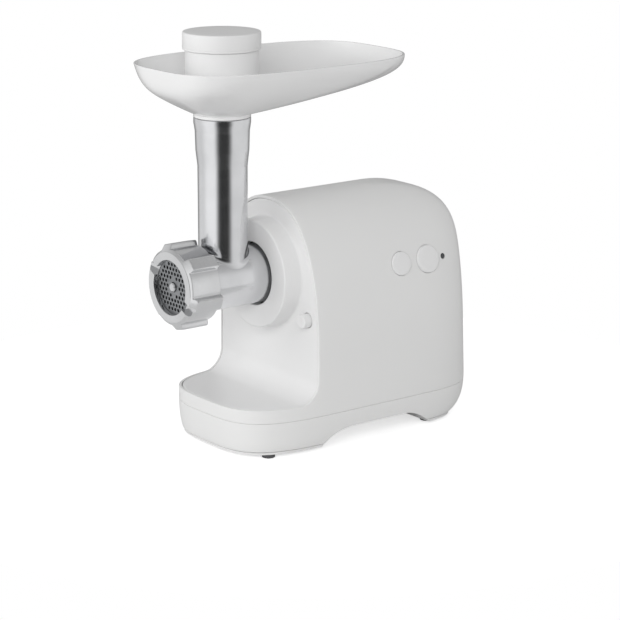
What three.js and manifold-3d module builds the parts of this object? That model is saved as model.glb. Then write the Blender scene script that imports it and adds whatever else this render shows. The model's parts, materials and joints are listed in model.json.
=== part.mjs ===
// Electric meat grinder, in millimetres, +Z up, +Y to the back; the meat leaves towards -Y.
// Every place below is written from one point: the foot of the feed tube's axis on the table.
// The last lines move the whole group so that the origin is at the centre of the underside.

import * as THREE from "three";
import { mergeVertices } from "three/addons/utils/BufferGeometryUtils.js";
import Module from "manifold-3d";

// ---------- driving dimensions ----------

const GAP = 0.3; // between two pieces that touch
const WALL = 2.6; // moulded shell

const body = {
  halfWidth: 73.9,
  panelY: 49,
  shoulderZ: 83.6, // the sides are upright below this height
  crownZ: 217.5,
  archPower: 2.37,
  rearY: 243.2,
  rearRound: 83.2, // how far forward of rearY the rear corners start
  rearPower: 3.5,
  crownEndY: 121.6, // the crown line is level up to here
  crownDropZ: 150, // the back curves forward above this height
  crownPower: 3.7,
  rearLean: 0.04,
  leanFromZ: 40,
};
const foot = {
  radius: 6,
  height: 2.9,
  x: 55.5,
  frontY: 7.5,
  rearY: 188,
  edge: 0.8,
  spigotRadius: 3,
  spigotTopZ: 5.4,
};
const base = {
  bottomZ: 3.2,
  lipZ: 5.6,
  wallZ: 6,
  tuckFromZ: 40,
  sideTuck: 6.8,
  rearTuck: 39,
  tuckPower: 2.7,
  partingZ: 32.5,
  seam: 0.5,
  lipInset: 0.5,
};
const platform = {
  topZ: 44.8,
  frontRound: 107.4,
  frontCentreY: 84.6,
  power: 3.5,
  filletRadius: 20,
};
const arch = {
  startY: 56,
  frontBendY: 63,
  frontTopY: 88,
  rearTopY: 150,
  rearBendY: 164,
  endY: 179,
  topZ: 17.6,
  underZ: -20,
};
const floorVents = { places: [-18, 0, 18], halfWidth: 2.5, startY: 100, endY: 140 };
const sideVents = { count: 7, pitch: 9, width: 4.5, lowZ: 92, highZ: 124 };
const gland = {
  x: -36,
  z: 52,
  radius: 5.5,
  bore: 3.6,
  flangeRadius: 7.2,
  frontY: 232.8,
  flangeBackY: 235.2,
  backY: 242.4,
};
const screwPlaces = [
  [-52, 30],
  [52, 30],
  [-44, 186],
  [44, 186],
];
const screwPost = { radius: 4.6, bore: 2.1, footZ: 9.2, topZ: 40, boreTopZ: 36 };
const screwRib = { halfThickness: 1.3, lowZ: 34, intoWall: 1.5 };
const caseScrew = {
  faceZ: 1.2,
  faceRadius: 3,
  headRadius: 3.6,
  edgeZ: 2,
  shankRadius: 1.8,
  shankTopZ: 28,
  tipZ: 29.5,
};

const axisZ = 150.4; // auger, barrel, boss and output shaft
const boss = { frontY: 31.2, radius: 48, rootRadius: 49.3, holeRadius: 28.4, backY: 41.5 };
const socket = { inner: 27.6, outer: 31, frontY: 42, backY: 57, lugRadius: 24.8, lugRoot: 29 };
const lugs = {
  count: 3,
  firstDegrees: 20,
  halfDegrees: 8,
  slackDegrees: 1.5,
  frontY: 46,
  backY: 50,
};
const twistDegrees = 45; // from locked to free

const lock = {
  x: 57,
  z: 116.5,
  radius: 6.3,
  frontY: 41,
  edge: 1,
  clearance: 0.5,
  flangeGap: 0.5,
  flangeLip: 2.2,
  flangeThickness: 2,
  stemRadius: 3,
  pinRadius: 2.2,
  pinOrbit: 23,
  pinFrontY: 53,
  pocketY: 52.4,
  pocketDegrees: 9,
};
const lockLink = { frontY: 57.4, backY: 59.4, halfWidth: 4, springOrbit: 46, springY: 63.8 };
const lockCoil = { radius: 3.2, wire: 0.4, turns: 3, length: 3 };

const barrel = {
  radius: 26.2,
  bore: 21.2,
  threadRadius: 30.4,
  frontY: -50.5,
  threadEndY: -29,
  collarY: 40,
  collarRadius: 27,
  backY: 56,
  wallY: 45,
  seatRadius: 27.3,
  seatY: -47.4,
  knifeChamber: 24.6,
  knifeBackY: -40.4,
  edge: 0.8,
};
const tube = {
  topZ: 293.6,
  radius: 21.6,
  wideRadius: 24.9,
  wideZ: 262,
  narrowZ: 251,
  bore: 19.2,
  wideBore: 22.9,
  wideBoreZ: 258,
  flareZ: 181,
  rootRadius: 24.8,
  rootZ: 168,
  seam: 0.1, // between the tube and the barrel that it is cast with
};
const nut = {
  frontY: -57.3,
  lip: 4.3,
  backY: -26,
  bore: 30.8,
  opening: 24,
  faceRadius: 31.4,
  lobeRadius: 37.8,
  scoopRadius: 34,
  lobes: 6,
  firstDegrees: 43,
  lobeHalfDegrees: 7,
  bevel: 6,
  scoopDegrees: 5, // from a lobe's edge to the start of its scoop
  slotWidth: 9,
  slotDepth: 3.6,
  slotReach: 45,
};
const plate = { radius: 26.9, thickness: 5, frontY: -52.7, pinHole: 4.5, holeRadius: 1.45, pitch: 4.5 };
const plateField = { inner: 8, outer: 22.2 };
const knife = {
  radius: 23.6,
  frontY: -47.3,
  thickness: 6,
  hub: 8.6,
  square: 9.7,
  bladeWidth: 7,
  shoulderRadius: 21.6,
  trailDegrees: -9,
  leadDegrees: 7,
};
const auger = {
  core: 9,
  flight: 20.4,
  flightFootDegrees: 57.8,
  flightTipDegrees: 18.7,
  pitch: 21,
  frontY: -40.9,
  backY: 43.6,
  square: 9,
  pinRadius: 4,
  pinFrontY: -54.6,
  neckRadius: 6.7,
  neckBackY: 58.5,
  pinEdge: 0.8,
  hexRadius: 6.6,
  hexFrontY: 58,
  hexBackY: 66,
};
const bushing = { inner: 7, outer: 12, frontY: 45.3, backY: 56.5 };

const tray = {
  rimZ: 340.1,
  neckZ: 296.9,
  halfWidth: 75.5,
  halfLength: 120,
  centreY: 52.4,
  rimPower: 3.3,
  wall: 2,
  lift: 2.2, // of the inside over the outside, below the rim
  rimLift: 2.3,
  neckOuter: 24.9,
  neckInner: 20.4,
  spigotRadius: 22.5,
  spigotZ: 266,
  riseStart: 0.687,
  riseRear: 0.095,
  riseSide: 0.42,
  risePower: 9,
  spread: 0.687,
  spreadRear: 0.46,
  spreadSide: 0.1,
};
const pusher = {
  stemRadius: 18.6,
  stemZ: 196,
  drumRadius: 32,
  drumZ: 304,
  seamZ: 352,
  wall: 2.2,
  shoulderRadius: 30.5,
  capRadius: 34.1,
  capZ: 367.5,
  skirtZ: 346,
  edge: 0.8,
};

const buttons = {
  tiltZ: 0.27, // the side leans in by this much at the height of the buttons
  faceX: 66.35,
  z: 155,
  power: { y: 177.7, radius: 12.6 },
  reverse: { y: 146.9, radius: 10.8 },
  lamp: { y: 196.5, radius: 2.4, faceX: 65.1, depth: 9, lip: 1.2, lipDepth: 4.4, lipBack: 5.6 },
  proud: 1.8,
  edge: 0.8,
  flangeDepth: 4.6,
  flangeBack: 6,
  flangeLip: 1.6,
  stemRadius: 2.5,
  stemDepth: 10.6,
  switchRadius: 3.6,
  switchDepth: 13,
  boardDepth: 17,
};
const buttonCoil = { radius: 6.6, wire: 0.5, turns: 3, length: 6.4, depth: 16 };
const board = { thickness: 1.6, length: 76, height: 30 };

const gearbox = {
  frontY: 67.5,
  innerY: 70.5,
  backY: 100,
  wall: 3,
  gearTwo: { x: 22, z: 116.99 },
  gearOne: { x: -6, z: 92.05 },
  outputPocket: 34,
  twoPocket: 33,
  onePocket: 31,
  motorPocket: 12,
  coverFrontY: 100.3,
  coverBackY: 103.3,
  coverHalfWidth: 32,
  coverHalfHeight: 28,
  boltPillarRadius: 4.2,
  boltPillarBackY: 129.6,
};
const gearPin = { radius: 3, frontY: 68, backY: 102 };
const gearSpacer = { radius: 5, frontY: 92, backY: 94 };
const output = {
  frontY: 58.9,
  headRadius: 12.5,
  headBackY: 64,
  journal: 8,
  journalBackY: 84.5,
  endRadius: 7.5,
  endFrontY: 85,
  backY: 96,
  socketClearance: 0.4,
  socketBackY: 66.6,
};
const outputBush = { outer: 11, frontY: 65, backY: 71.7 };
const ballBearing = { outer: 11, frontY: 104, rearY: 199.5, length: 6, cupRadius: 14 };

const motor = {
  x: 0,
  z: 58.84,
  frontY: 92.4,
  noseRadius: 2.5,
  noseBackY: 99.7,
  shaftRadius: 4,
  backY: 207,
};
const stator = {
  frontY: 130,
  backY: 168,
  halfWidth: 32,
  halfHeight: 29,
  corner: 5,
  slotHalfWidth: 25,
  slotLowZ: 9.5,
  slotHighZ: 19.5,
};
const rotor = { radius: 19.4, airGap: 1, slots: 12, slotDepth: 6, slotHalf: 1.2 };
const winding = {
  halfWidth: 24.5,
  innerHalf: 20.4,
  lowZ: 10,
  highZ: 19,
  overhang: 6.5,
  innerOverhang: 2,
};
const commutator = { radius: 11, frontY: 176, backY: 190 };
const fan = {
  blades: 9,
  hubRadius: 9,
  frontY: 113,
  backY: 122,
  discInner: 8,
  discRadius: 25,
  discBackY: 114.5,
  bladeStart: 8.5,
  bladeFrontY: 114,
  bladeHalf: 0.7,
};
const bolt = { x: 27, z: 24, radius: 2, frontY: 101.5, headRadius: 4, headLength: 3.2 };
const bracket = {
  halfWidth: 34,
  halfHeight: 14,
  frontY: 199,
  backY: 203,
  cupBackY: 208,
  legInner: 31,
  legHalfHeight: 12,
  legFrontY: 156,
  recessHalf: 32.3,
  recessFrontY: 150,
  recessBackY: 190,
};
const brush = { inner: 11.4, outer: 31.5, frontY: 179, backY: 186, halfHeight: 3.5 };
const capacitor = { x0: -58, x1: -44, frontY: 190, backY: 222, lowZ: 75, highZ: 95 };

const gears = {
  output: { teeth: 30, module: 2, frontY: 72, width: 12 },
  twoPinion: { teeth: 10, module: 2, frontY: 71.5, width: 14.5 },
  twoWheel: { teeth: 40, module: 1.5, frontY: 85.5, width: 6.5 },
  onePinion: { teeth: 10, module: 1.5, frontY: 85, width: 8 },
  oneWheel: { teeth: 45, module: 1.25, frontY: 93.3, width: 5.7 },
  motorPinion: { teeth: 9, module: 1.25, frontY: 92.8, width: 6.6 },
};

// ---------- materials ----------

const finish = (color, roughness, metalness) =>
  new THREE.MeshStandardMaterial({ color, roughness, metalness });
const white = finish(0xf0f0ee, 0.45, 0);
const gloss = finish(0xf6f6f5, 0.2, 0);
const aluminium = finish(0xb9bbbd, 0.3, 1);
const steel = finish(0x8d9093, 0.35, 1);
const brass = finish(0xb08d45, 0.35, 1);
const copper = finish(0xa8602c, 0.4, 1);
const rubber = finish(0x2c2c2e, 0.9, 0);
const black = finish(0x1f2022, 0.6, 0);
const nylon = finish(0xe4e0d2, 0.5, 0);
const boardGreen = finish(0x1d5a36, 0.6, 0);

// ---------- solids and booleans ----------

const wasm = await Module();
wasm.setup();

function solid(geometry) {
  const bare = geometry.clone();
  bare.deleteAttribute("normal");
  bare.deleteAttribute("uv");
  const merged = mergeVertices(bare, 1e-4);
  const vertProperties = new Float32Array(merged.attributes.position.array);
  const triVerts = new Uint32Array(merged.index.array);
  return new wasm.Manifold(new wasm.Mesh({ numProp: 3, vertProperties, triVerts }));
}

function geometryOf(manifold) {
  const mesh = manifold.getMesh();
  const geometry = new THREE.BufferGeometry();
  geometry.setAttribute("position", new THREE.BufferAttribute(mesh.vertProperties, 3));
  geometry.setIndex(new THREE.BufferAttribute(mesh.triVerts, 1));
  geometry.computeVertexNormals();
  return geometry;
}

const grinder = new THREE.Group();

function piece(name, manifold, material) {
  const mesh = new THREE.Mesh(geometryOf(manifold), material);
  mesh.name = name;
  grinder.add(mesh);
  return mesh;
}

const join = (...parts) => parts.reduce((all, part) => all.add(part));
const cut = (from, ...parts) => parts.reduce((left, part) => left.subtract(part), from);

const power = (value, exponent) => Math.sign(value) * Math.abs(value) ** exponent;
const radians = (turn) => (turn * Math.PI) / 180;
const degrees = (turn) => (turn * 180) / Math.PI;

// A closed skin through rings of [x, y, z] points, lowest first, counter-clockwise seen from above.
function loft(rings) {
  const count = rings[0].length;
  const points = rings.flat();
  const faces = [];
  for (let r = 0; r + 1 < rings.length; r++)
    for (let i = 0; i < count; i++) {
      const a = r * count + i;
      const b = r * count + ((i + 1) % count);
      faces.push(a, b, b + count, a, b + count, a + count);
    }
  const top = (rings.length - 1) * count;
  for (let i = 1; i + 1 < count; i++) {
    faces.push(0, i + 1, i);
    faces.push(top, top + i, top + i + 1);
  }
  const geometry = new THREE.BufferGeometry();
  geometry.setAttribute("position", new THREE.Float32BufferAttribute(points.flat(), 3));
  geometry.setIndex(faces);
  return solid(geometry);
}

const box = (x0, x1, y0, y1, z0, z1) =>
  solid(
    new THREE.BoxGeometry(x1 - x0, y1 - y0, z1 - z0).translate(
      (x0 + x1) / 2,
      (y0 + y1) / 2,
      (z0 + z1) / 2,
    ),
  );

// A cylinder from y0 to y1 about a line through (x, z).
const rod = (x, z, radius, y0, y1, sides = 20) =>
  solid(
    new THREE.CylinderGeometry(radius, radius, y1 - y0, sides).translate(x, (y0 + y1) / 2, z),
  );

// A cylinder from z0 to z1 about a line through (x, y).
const post = (x, y, radius, z0, z1, sides = 12) =>
  solid(
    new THREE.CylinderGeometry(radius, radius, z1 - z0, sides)
      .rotateX(Math.PI / 2)
      .translate(x, y, (z0 + z1) / 2),
  );

// A turned piece about the Y direction through (x, z): profile points are [radius, y].
function turned(x, z, profile, sides = 24) {
  const points = profile.map(([r, y]) => new THREE.Vector2(r, y));
  return solid(new THREE.LatheGeometry(points, sides).translate(x, 0, z));
}

// A turned piece about the Z direction through (x, y): profile points are [radius, z].
function upright(x, y, profile, sides = 26) {
  const points = profile.map(([r, z]) => new THREE.Vector2(r, z));
  return solid(new THREE.LatheGeometry(points, sides).rotateX(Math.PI / 2).translate(x, y, 0));
}

// A shape drawn in X and Z, extruded from y0 to y1, with its own origin at (x, z).
function plank(shape, x, z, y0, y1, curveSegments = 12) {
  const geometry = new THREE.ExtrudeGeometry(shape, {
    depth: y1 - y0,
    bevelEnabled: false,
    curveSegments,
  });
  return solid(geometry.rotateX(Math.PI / 2).translate(x, y1, z));
}

// A shape drawn in Y and Z, extruded across X from x0 to x1.
function across(shape, x0, x1, curveSegments = 12) {
  const geometry = new THREE.ExtrudeGeometry(shape, {
    depth: x1 - x0,
    bevelEnabled: false,
    curveSegments,
  });
  const turn = new THREE.Matrix4().set(0, 0, 1, x0, 1, 0, 0, 0, 0, 1, 0, 0, 0, 0, 0, 1);
  return solid(geometry.applyMatrix4(turn));
}

// A ring about the Y direction.
const sleeve = (x, z, inner, outer, y0, y1, sides = 24) =>
  turned(
    x,
    z,
    [
      [inner, y0],
      [outer, y0],
      [outer, y1],
      [inner, y1],
      [inner, y0],
    ],
    sides,
  );

// A sector of a ring about the Y direction through the auger's axis, between two angles.
function sector(inner, outer, y0, y1, fromDegrees, toDegrees) {
  const shape = new THREE.Shape();
  shape.absarc(0, 0, outer, radians(fromDegrees), radians(toDegrees), false);
  shape.absarc(0, 0, inner, radians(toDegrees), radians(fromDegrees), true);
  return plank(shape, 0, axisZ, y0, y1, 3);
}

// ---------- the body's outer form ----------

const HALF_RING = 14;
const BARREL_SIDES = 28;

// A horizontal outline: rounded rear, and a front that is flat or rounded.
function outline(halfWidth, front, rear, frontRound, rearRound, z) {
  const points = [];
  for (let i = 0; i <= HALF_RING; i++) {
    const t = (Math.PI * i) / HALF_RING;
    const x = halfWidth * power(Math.cos(t), 2 / body.rearPower);
    const y = rear - rearRound + rearRound * power(Math.sin(t), 2 / body.rearPower);
    points.push([x, y, z]);
  }
  const frontSteps = frontRound > 0 ? HALF_RING : 1;
  for (let i = 0; i <= frontSteps; i++) {
    const t = Math.PI + (Math.PI * i) / frontSteps;
    const x = halfWidth * power(Math.cos(t), 2 / platform.power);
    const y = front + frontRound + frontRound * power(Math.sin(t), 2 / platform.power);
    points.push([x, y, z]);
  }
  return points;
}

function rearAt(z) {
  const straight = body.rearY - body.rearLean * Math.max(0, z - body.leanFromZ);
  const share = Math.min(1, Math.max(0, (z - body.crownDropZ) / (body.crownZ - body.crownDropZ)));
  const left = (1 - share ** body.crownPower) ** (1 / body.crownPower);
  return body.crownEndY + (straight - body.crownEndY) * left;
}

// The upper body behind the front panel, drawn in by inset on every side, from bottomZ up.
function upperBody(inset, frontY, bottomZ) {
  const rise = body.crownZ - body.shoulderZ - inset;
  const steps = 8;
  const rings = [];
  const ring = (halfWidth, z) => {
    const narrow = halfWidth / body.halfWidth;
    const rear = rearAt(Math.min(z + inset, body.crownZ)) - inset;
    rings.push(outline(halfWidth, frontY, rear, 0, body.rearRound * narrow, z));
  };
  ring(body.halfWidth - inset, bottomZ);
  for (let i = 0; i <= steps; i++) {
    const t = (0.985 * Math.PI * i) / (2 * steps);
    const width = (body.halfWidth - inset) * Math.cos(t) ** (2 / body.archPower);
    ring(width, body.shoulderZ + rise * Math.sin(t) ** (2 / body.archPower));
  }
  return loft(rings);
}

// The low body with the platform in front, drawn in by inset, between two heights.
function lowerBody(inset, heights) {
  return loft(
    heights.map((z) => {
      const depth = Math.max(0, (base.tuckFromZ - z) / (base.tuckFromZ - base.bottomZ));
      const round = Math.max(0, 1 - Math.min(1, depth) ** base.tuckPower);
      const tuck = 1 - round ** (1 / base.tuckPower);
      const side = base.sideTuck * tuck + inset;
      const rear = base.rearTuck * tuck + inset;
      const front = platform.frontCentreY - platform.frontRound + side;
      return outline(
        body.halfWidth - side,
        front,
        body.rearY - rear,
        platform.frontRound - side,
        body.rearRound - rear,
        z,
      );
    }),
  );
}

// The hollow curve that carries the platform up into the panel, thick enough to join both.
function filletBlock(offset, x0, x1) {
  const radius = platform.filletRadius + offset;
  const centreY = body.panelY - platform.filletRadius;
  const centreZ = platform.topZ + platform.filletRadius;
  const shape = new THREE.Shape();
  shape.moveTo(centreY, centreZ - radius);
  shape.absarc(centreY, centreZ, radius, -Math.PI / 2, 0, false);
  shape.lineTo(centreY + radius + WALL, centreZ);
  shape.lineTo(centreY + radius + WALL, centreZ - radius - WALL);
  shape.lineTo(centreY, centreZ - radius - WALL);
  return across(shape, x0, x1, 6);
}

const lowHeights = (from, to) => [from, 7, 12, 20, to].filter((z) => z >= from && z <= to);

// The low arch under the middle of the base, raised by lift.
function archTunnel(lift) {
  const shape = new THREE.Shape();
  const top = arch.topZ + lift;
  const side = body.halfWidth + 10;
  shape.moveTo(arch.startY - lift, arch.underZ);
  shape.lineTo(arch.startY - lift, base.bottomZ + lift);
  shape.quadraticCurveTo(arch.frontBendY - lift, top - 2, arch.frontTopY, top);
  shape.lineTo(arch.rearTopY, top);
  shape.quadraticCurveTo(arch.rearBendY + lift, top - 1, arch.endY + lift, base.bottomZ);
  shape.lineTo(arch.endY + lift, arch.underZ);
  return across(shape, -side, side, 6);
}

// ---------- side controls: everything lies along the tilted direction of the side ----------

const outward = new THREE.Vector3(1, 0, buttons.tiltZ).normalize();

// A turned piece along the side's direction: profile points are [radius, depth below the face].
function inSide(y, faceX, profile, sides = 20) {
  const points = profile.map(([r, depth]) => new THREE.Vector2(r, -depth));
  const turn = new THREE.Quaternion().setFromUnitVectors(new THREE.Vector3(0, 1, 0), outward);
  const geometry = new THREE.LatheGeometry(points, sides);
  return solid(geometry.applyQuaternion(turn).translate(faceX, y, buttons.z));
}

// A disc between two depths, the outer one first.
const discInSide = (y, faceX, radius, outer, inner, sides = 20) =>
  inSide(
    y,
    faceX,
    [
      [0, inner],
      [radius, inner],
      [radius, outer],
      [0, outer],
    ],
    sides,
  );

// ---------- shells ----------

function mainHousing() {
  const outer = join(
    upperBody(0, body.panelY, base.partingZ + base.seam),
    lowerBody(0, [base.partingZ + base.seam, base.tuckFromZ, platform.topZ]),
    filletBlock(0, -body.halfWidth, body.halfWidth).intersect(
      lowerBody(0, [base.partingZ + base.seam, base.tuckFromZ, 80]),
    ),
  );
  const inner = join(
    upperBody(WALL, body.panelY - 10, base.partingZ - 10),
    lowerBody(WALL, [base.partingZ - 10, base.tuckFromZ, 70]),
  );
  const shell = cut(outer, inner);
  const holes = [buttons.power, buttons.reverse].map(({ y, radius }) =>
    discInSide(y, buttons.faceX, radius + GAP, -8, 8),
  );
  holes.push(discInSide(buttons.lamp.y, buttons.lamp.faceX, buttons.lamp.radius + GAP, -8, 8));
  holes.push(rod(gland.x, gland.z, gland.radius, body.rearY - 23, body.rearY + 7));
  const { count, pitch, width, lowZ, highZ } = sideVents;
  for (let i = 0; i < count; i++) {
    const x = (i - (count - 1) / 2) * pitch;
    const half = width / 2;
    holes.push(box(x - half, x + half, body.rearY - 18, body.rearY + 7, lowZ, highZ));
  }
  const posts = screwPlaces.map(([x, y]) => {
    const wallX = Math.sign(x) * (body.halfWidth - screwRib.intoWall);
    const half = screwRib.halfThickness;
    return cut(
      join(
        post(x, y, screwPost.radius, screwPost.footZ, screwPost.topZ),
        box(Math.min(x, wallX), Math.max(x, wallX), y - half, y + half, screwRib.lowZ, screwPost.topZ),
      ),
      post(x, y, screwPost.bore, screwPost.footZ - 1, screwPost.boreTopZ, 12),
    );
  });
  piece("main_housing", join(cut(shell, ...holes), ...posts), white);
}

// The deck, the curve and the panel as one sheet, drawn from the side.
function fasciaSheet() {
  const radius = platform.filletRadius;
  const centreY = body.panelY - radius;
  const centreZ = platform.topZ + radius;
  const frontY = platform.frontCentreY - platform.frontRound - 10;
  const shape = new THREE.Shape();
  shape.moveTo(frontY, platform.topZ);
  shape.absarc(centreY, centreZ, radius, -Math.PI / 2, 0, false);
  shape.lineTo(body.panelY, body.crownZ);
  shape.lineTo(body.panelY + WALL, body.crownZ);
  shape.absarc(centreY, centreZ, radius + WALL, 0, -Math.PI / 2, true);
  shape.lineTo(frontY, platform.topZ - WALL);
  return across(shape, -body.halfWidth, body.halfWidth, 4);
}

function frontFascia() {
  const inset = WALL + GAP;
  const panelBack = body.panelY + WALL;
  const ringBack = panelBack - 0.5;
  const within = join(
    upperBody(inset, body.panelY - 1, platform.topZ - 10),
    lowerBody(inset, [platform.topZ - 10, platform.topZ + platform.filletRadius]),
  );
  const ring = turned(
    0,
    axisZ,
    [
      [boss.holeRadius, boss.frontY],
      [boss.radius, boss.frontY],
      [boss.rootRadius, ringBack],
      [boss.rootRadius - WALL, ringBack],
      [boss.radius - WALL, boss.frontY + WALL],
      [boss.holeRadius + WALL, boss.frontY + WALL],
      [boss.holeRadius + WALL, boss.backY],
      [boss.holeRadius, boss.backY],
      [boss.holeRadius, boss.frontY],
    ],
    36,
  );
  const bossOpening = rod(0, axisZ, boss.rootRadius - 1, body.panelY - 5, panelBack + 5, 36);
  const lockHole = rod(lock.x, lock.z, lock.radius + lock.clearance, body.panelY - 5, panelBack + 5);
  const sheet = cut(fasciaSheet().intersect(within), bossOpening, lockHole);
  piece("front_fascia", join(sheet, ring), white);
}

function baseCase() {
  const outer = lowerBody(0, lowHeights(base.wallZ, base.partingZ));
  const inner = lowerBody(WALL, lowHeights(base.wallZ - 2, base.partingZ + 1));
  piece("base_case", cut(outer, inner, archTunnel(0)), white);
}

function bottomPlate() {
  const thickness = base.lipZ - base.bottomZ;
  const inset = WALL + 2 * GAP;
  const above = arch.topZ + 12;
  const floor = lowerBody(inset, [base.bottomZ, 4, 7]);
  const dish = cut(floor, floor.translate([0, 0, thickness]));
  const roof = lowerBody(inset, [base.bottomZ, 4, 7, 12, 24]).intersect(archTunnel(thickness));
  const lip = lowerBody(base.lipInset, [base.bottomZ, base.lipZ]);
  const holes = screwPlaces.map(([x, y]) => post(x, y, screwPost.bore, 0, above, 12));
  for (const x of [-foot.x, foot.x])
    for (const y of [foot.frontY, foot.rearY])
      holes.push(post(x, y, foot.spigotRadius + GAP, 0, above, 12));
  const { places, halfWidth, startY, endY } = floorVents;
  for (const x of places) holes.push(box(x - halfWidth, x + halfWidth, startY, endY, 10, above));
  piece("bottom_plate", cut(join(dish, lip, roof), archTunnel(0), ...holes), white);
}

function feet() {
  const places = {
    foot_front_left: [-foot.x, foot.frontY],
    foot_front_right: [foot.x, foot.frontY],
    foot_rear_left: [-foot.x, foot.rearY],
    foot_rear_right: [foot.x, foot.rearY],
  };
  for (const [name, [x, y]] of Object.entries(places))
    piece(
      name,
      upright(
        x,
        y,
        [
          [0, 0],
          [foot.radius - foot.edge, 0],
          [foot.radius, foot.edge],
          [foot.radius, foot.height],
          [foot.spigotRadius, foot.height],
          [foot.spigotRadius, foot.spigotTopZ],
          [0, foot.spigotTopZ],
        ],
        12,
      ),
      rubber,
    );
}

function caseScrews() {
  const { faceZ, faceRadius, headRadius, edgeZ, shankRadius, shankTopZ, tipZ } = caseScrew;
  const profile = [
    [0, faceZ],
    [faceRadius, faceZ],
    [headRadius, edgeZ],
    [headRadius, base.bottomZ - GAP],
    [shankRadius, base.bottomZ - GAP],
    [shankRadius, shankTopZ],
    [0, tipZ],
  ];
  screwPlaces.forEach(([x, y], i) => piece(`case_screw_${i + 1}`, upright(x, y, profile, 8), steel));
}

function cordGland() {
  const radius = gland.radius - GAP;
  piece(
    "cord_gland",
    turned(
      gland.x,
      gland.z,
      [
        [gland.bore, gland.frontY],
        [gland.flangeRadius, gland.frontY],
        [gland.flangeRadius, gland.flangeBackY],
        [radius, gland.flangeBackY],
        [radius, gland.backY],
        [gland.bore, gland.backY],
        [gland.bore, gland.frontY],
      ],
      20,
    ),
    rubber,
  );
}

// ---------- controls ----------

class Helix extends THREE.Curve {
  constructor(radius, turns, length) {
    super();
    Object.assign(this, { radius, turns, length });
  }
  getPoint(t, target = new THREE.Vector3()) {
    const angle = 2 * Math.PI * this.turns * t;
    return target.set(
      this.radius * Math.cos(angle),
      this.length * t,
      this.radius * Math.sin(angle),
    );
  }
}

// A coil of wire standing along +Y from the origin.
function coil({ radius, wire, turns, length }) {
  const section = new THREE.Shape();
  section.absarc(0, 0, wire, 0, 2 * Math.PI, false);
  return new THREE.ExtrudeGeometry(section, {
    steps: turns * 6,
    curveSegments: 2,
    extrudePath: new Helix(radius, turns, length),
    bevelEnabled: false,
  });
}

function springInSide(y) {
  const turn = new THREE.Quaternion().setFromUnitVectors(new THREE.Vector3(0, 1, 0), outward);
  const start = outward.clone().multiplyScalar(-buttonCoil.depth);
  const spring = coil(buttonCoil).applyQuaternion(turn);
  return solid(spring.translate(buttons.faceX + start.x, y, buttons.z + start.z));
}

function sideButton(name, y, radius) {
  const { proud, edge, flangeDepth, flangeBack, flangeLip, stemRadius, stemDepth } = buttons;
  piece(
    name,
    inSide(y, buttons.faceX, [
      [0, stemDepth],
      [stemRadius, stemDepth],
      [stemRadius, flangeBack],
      [radius + flangeLip, flangeBack],
      [radius + flangeLip, flangeDepth],
      [radius, flangeDepth],
      [radius, -proud + edge],
      [radius - edge, -proud],
      [0, -proud],
    ]),
    white,
  );
}

function controls() {
  const { power: main, reverse, lamp, faceX, boardDepth, switchRadius, switchDepth } = buttons;
  const lipRadius = lamp.radius + lamp.lip;
  sideButton("power_button", main.y, main.radius);
  sideButton("reverse_button", reverse.y, reverse.radius);
  piece(
    "indicator_lens",
    inSide(lamp.y, lamp.faceX, [
      [0, lamp.depth],
      [lamp.radius, lamp.depth],
      [lamp.radius, lamp.lipBack],
      [lipRadius, lamp.lipBack],
      [lipRadius, lamp.lipDepth],
      [lamp.radius, lamp.lipDepth],
      [lamp.radius, -0.3],
      [0, -0.6],
    ]),
    finish(0x45494c, 0.25, 0),
  );
  piece("power_spring", springInSide(main.y), steel);
  piece("reverse_spring", springInSide(reverse.y), steel);
  for (const [name, y] of [
    ["power_switch", main.y],
    ["reverse_switch", reverse.y],
  ])
    piece(name, discInSide(y, faceX, switchRadius, switchDepth, boardDepth - GAP, 8), black);
  const sheet = new THREE.BoxGeometry(board.thickness, board.length, board.height);
  const back = outward.clone().multiplyScalar(-(boardDepth + board.thickness / 2));
  const centreY = (reverse.y + lamp.y) / 2;
  sheet.rotateY(-Math.atan(buttons.tiltZ)).translate(faceX + back.x, centreY, buttons.z + back.z);
  piece("control_board", solid(sheet), boardGreen);
}

function headLock() {
  const { stemRadius, edge } = lock;
  const flangeY = body.panelY + WALL + lock.flangeGap;
  const flangeBackY = flangeY + lock.flangeThickness;
  const flangeRadius = lock.radius + lock.flangeLip;
  piece(
    "lock_button",
    turned(
      lock.x,
      lock.z,
      [
        [0, lock.frontY],
        [lock.radius - edge, lock.frontY],
        [lock.radius, lock.frontY + edge],
        [lock.radius, flangeY],
        [flangeRadius, flangeY],
        [flangeRadius, flangeBackY],
        [stemRadius, flangeBackY],
        [stemRadius, lockLink.frontY - GAP],
        [0, lockLink.frontY - GAP],
      ],
      24,
    ),
    white,
  );
  // The bolt is a flat link from the button towards the head, with a pin at its inner end.
  const { frontY, backY, halfWidth, springOrbit, springY } = lockLink;
  const angle = Math.atan2(lock.z - axisZ, lock.x);
  const onLink = (orbit) => [orbit * Math.cos(angle), axisZ + orbit * Math.sin(angle)];
  const [pinX, pinZ] = onLink(lock.pinOrbit);
  const reach = Math.hypot(lock.x - pinX, lock.z - pinZ);
  const link = new THREE.Shape();
  link.absarc(0, 0, halfWidth, Math.PI / 2, (3 * Math.PI) / 2, false);
  link.absarc(reach, 0, halfWidth, -Math.PI / 2, Math.PI / 2, false);
  const bar = new THREE.ExtrudeGeometry(link, {
    depth: backY - frontY,
    bevelEnabled: false,
    curveSegments: 6,
  });
  bar.rotateX(Math.PI / 2).rotateY(-angle).translate(pinX, backY, pinZ);
  const pin = rod(pinX, pinZ, lock.pinRadius, lock.pinFrontY, frontY + 1, 12);
  piece("lock_bolt", join(solid(bar), pin), steel);
  const [springX, springZ] = onLink(springOrbit);
  const spring = coil(lockCoil).translate(springX, springY, springZ);
  piece("lock_spring", solid(spring), steel);
}

// ---------- grinding head ----------

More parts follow.
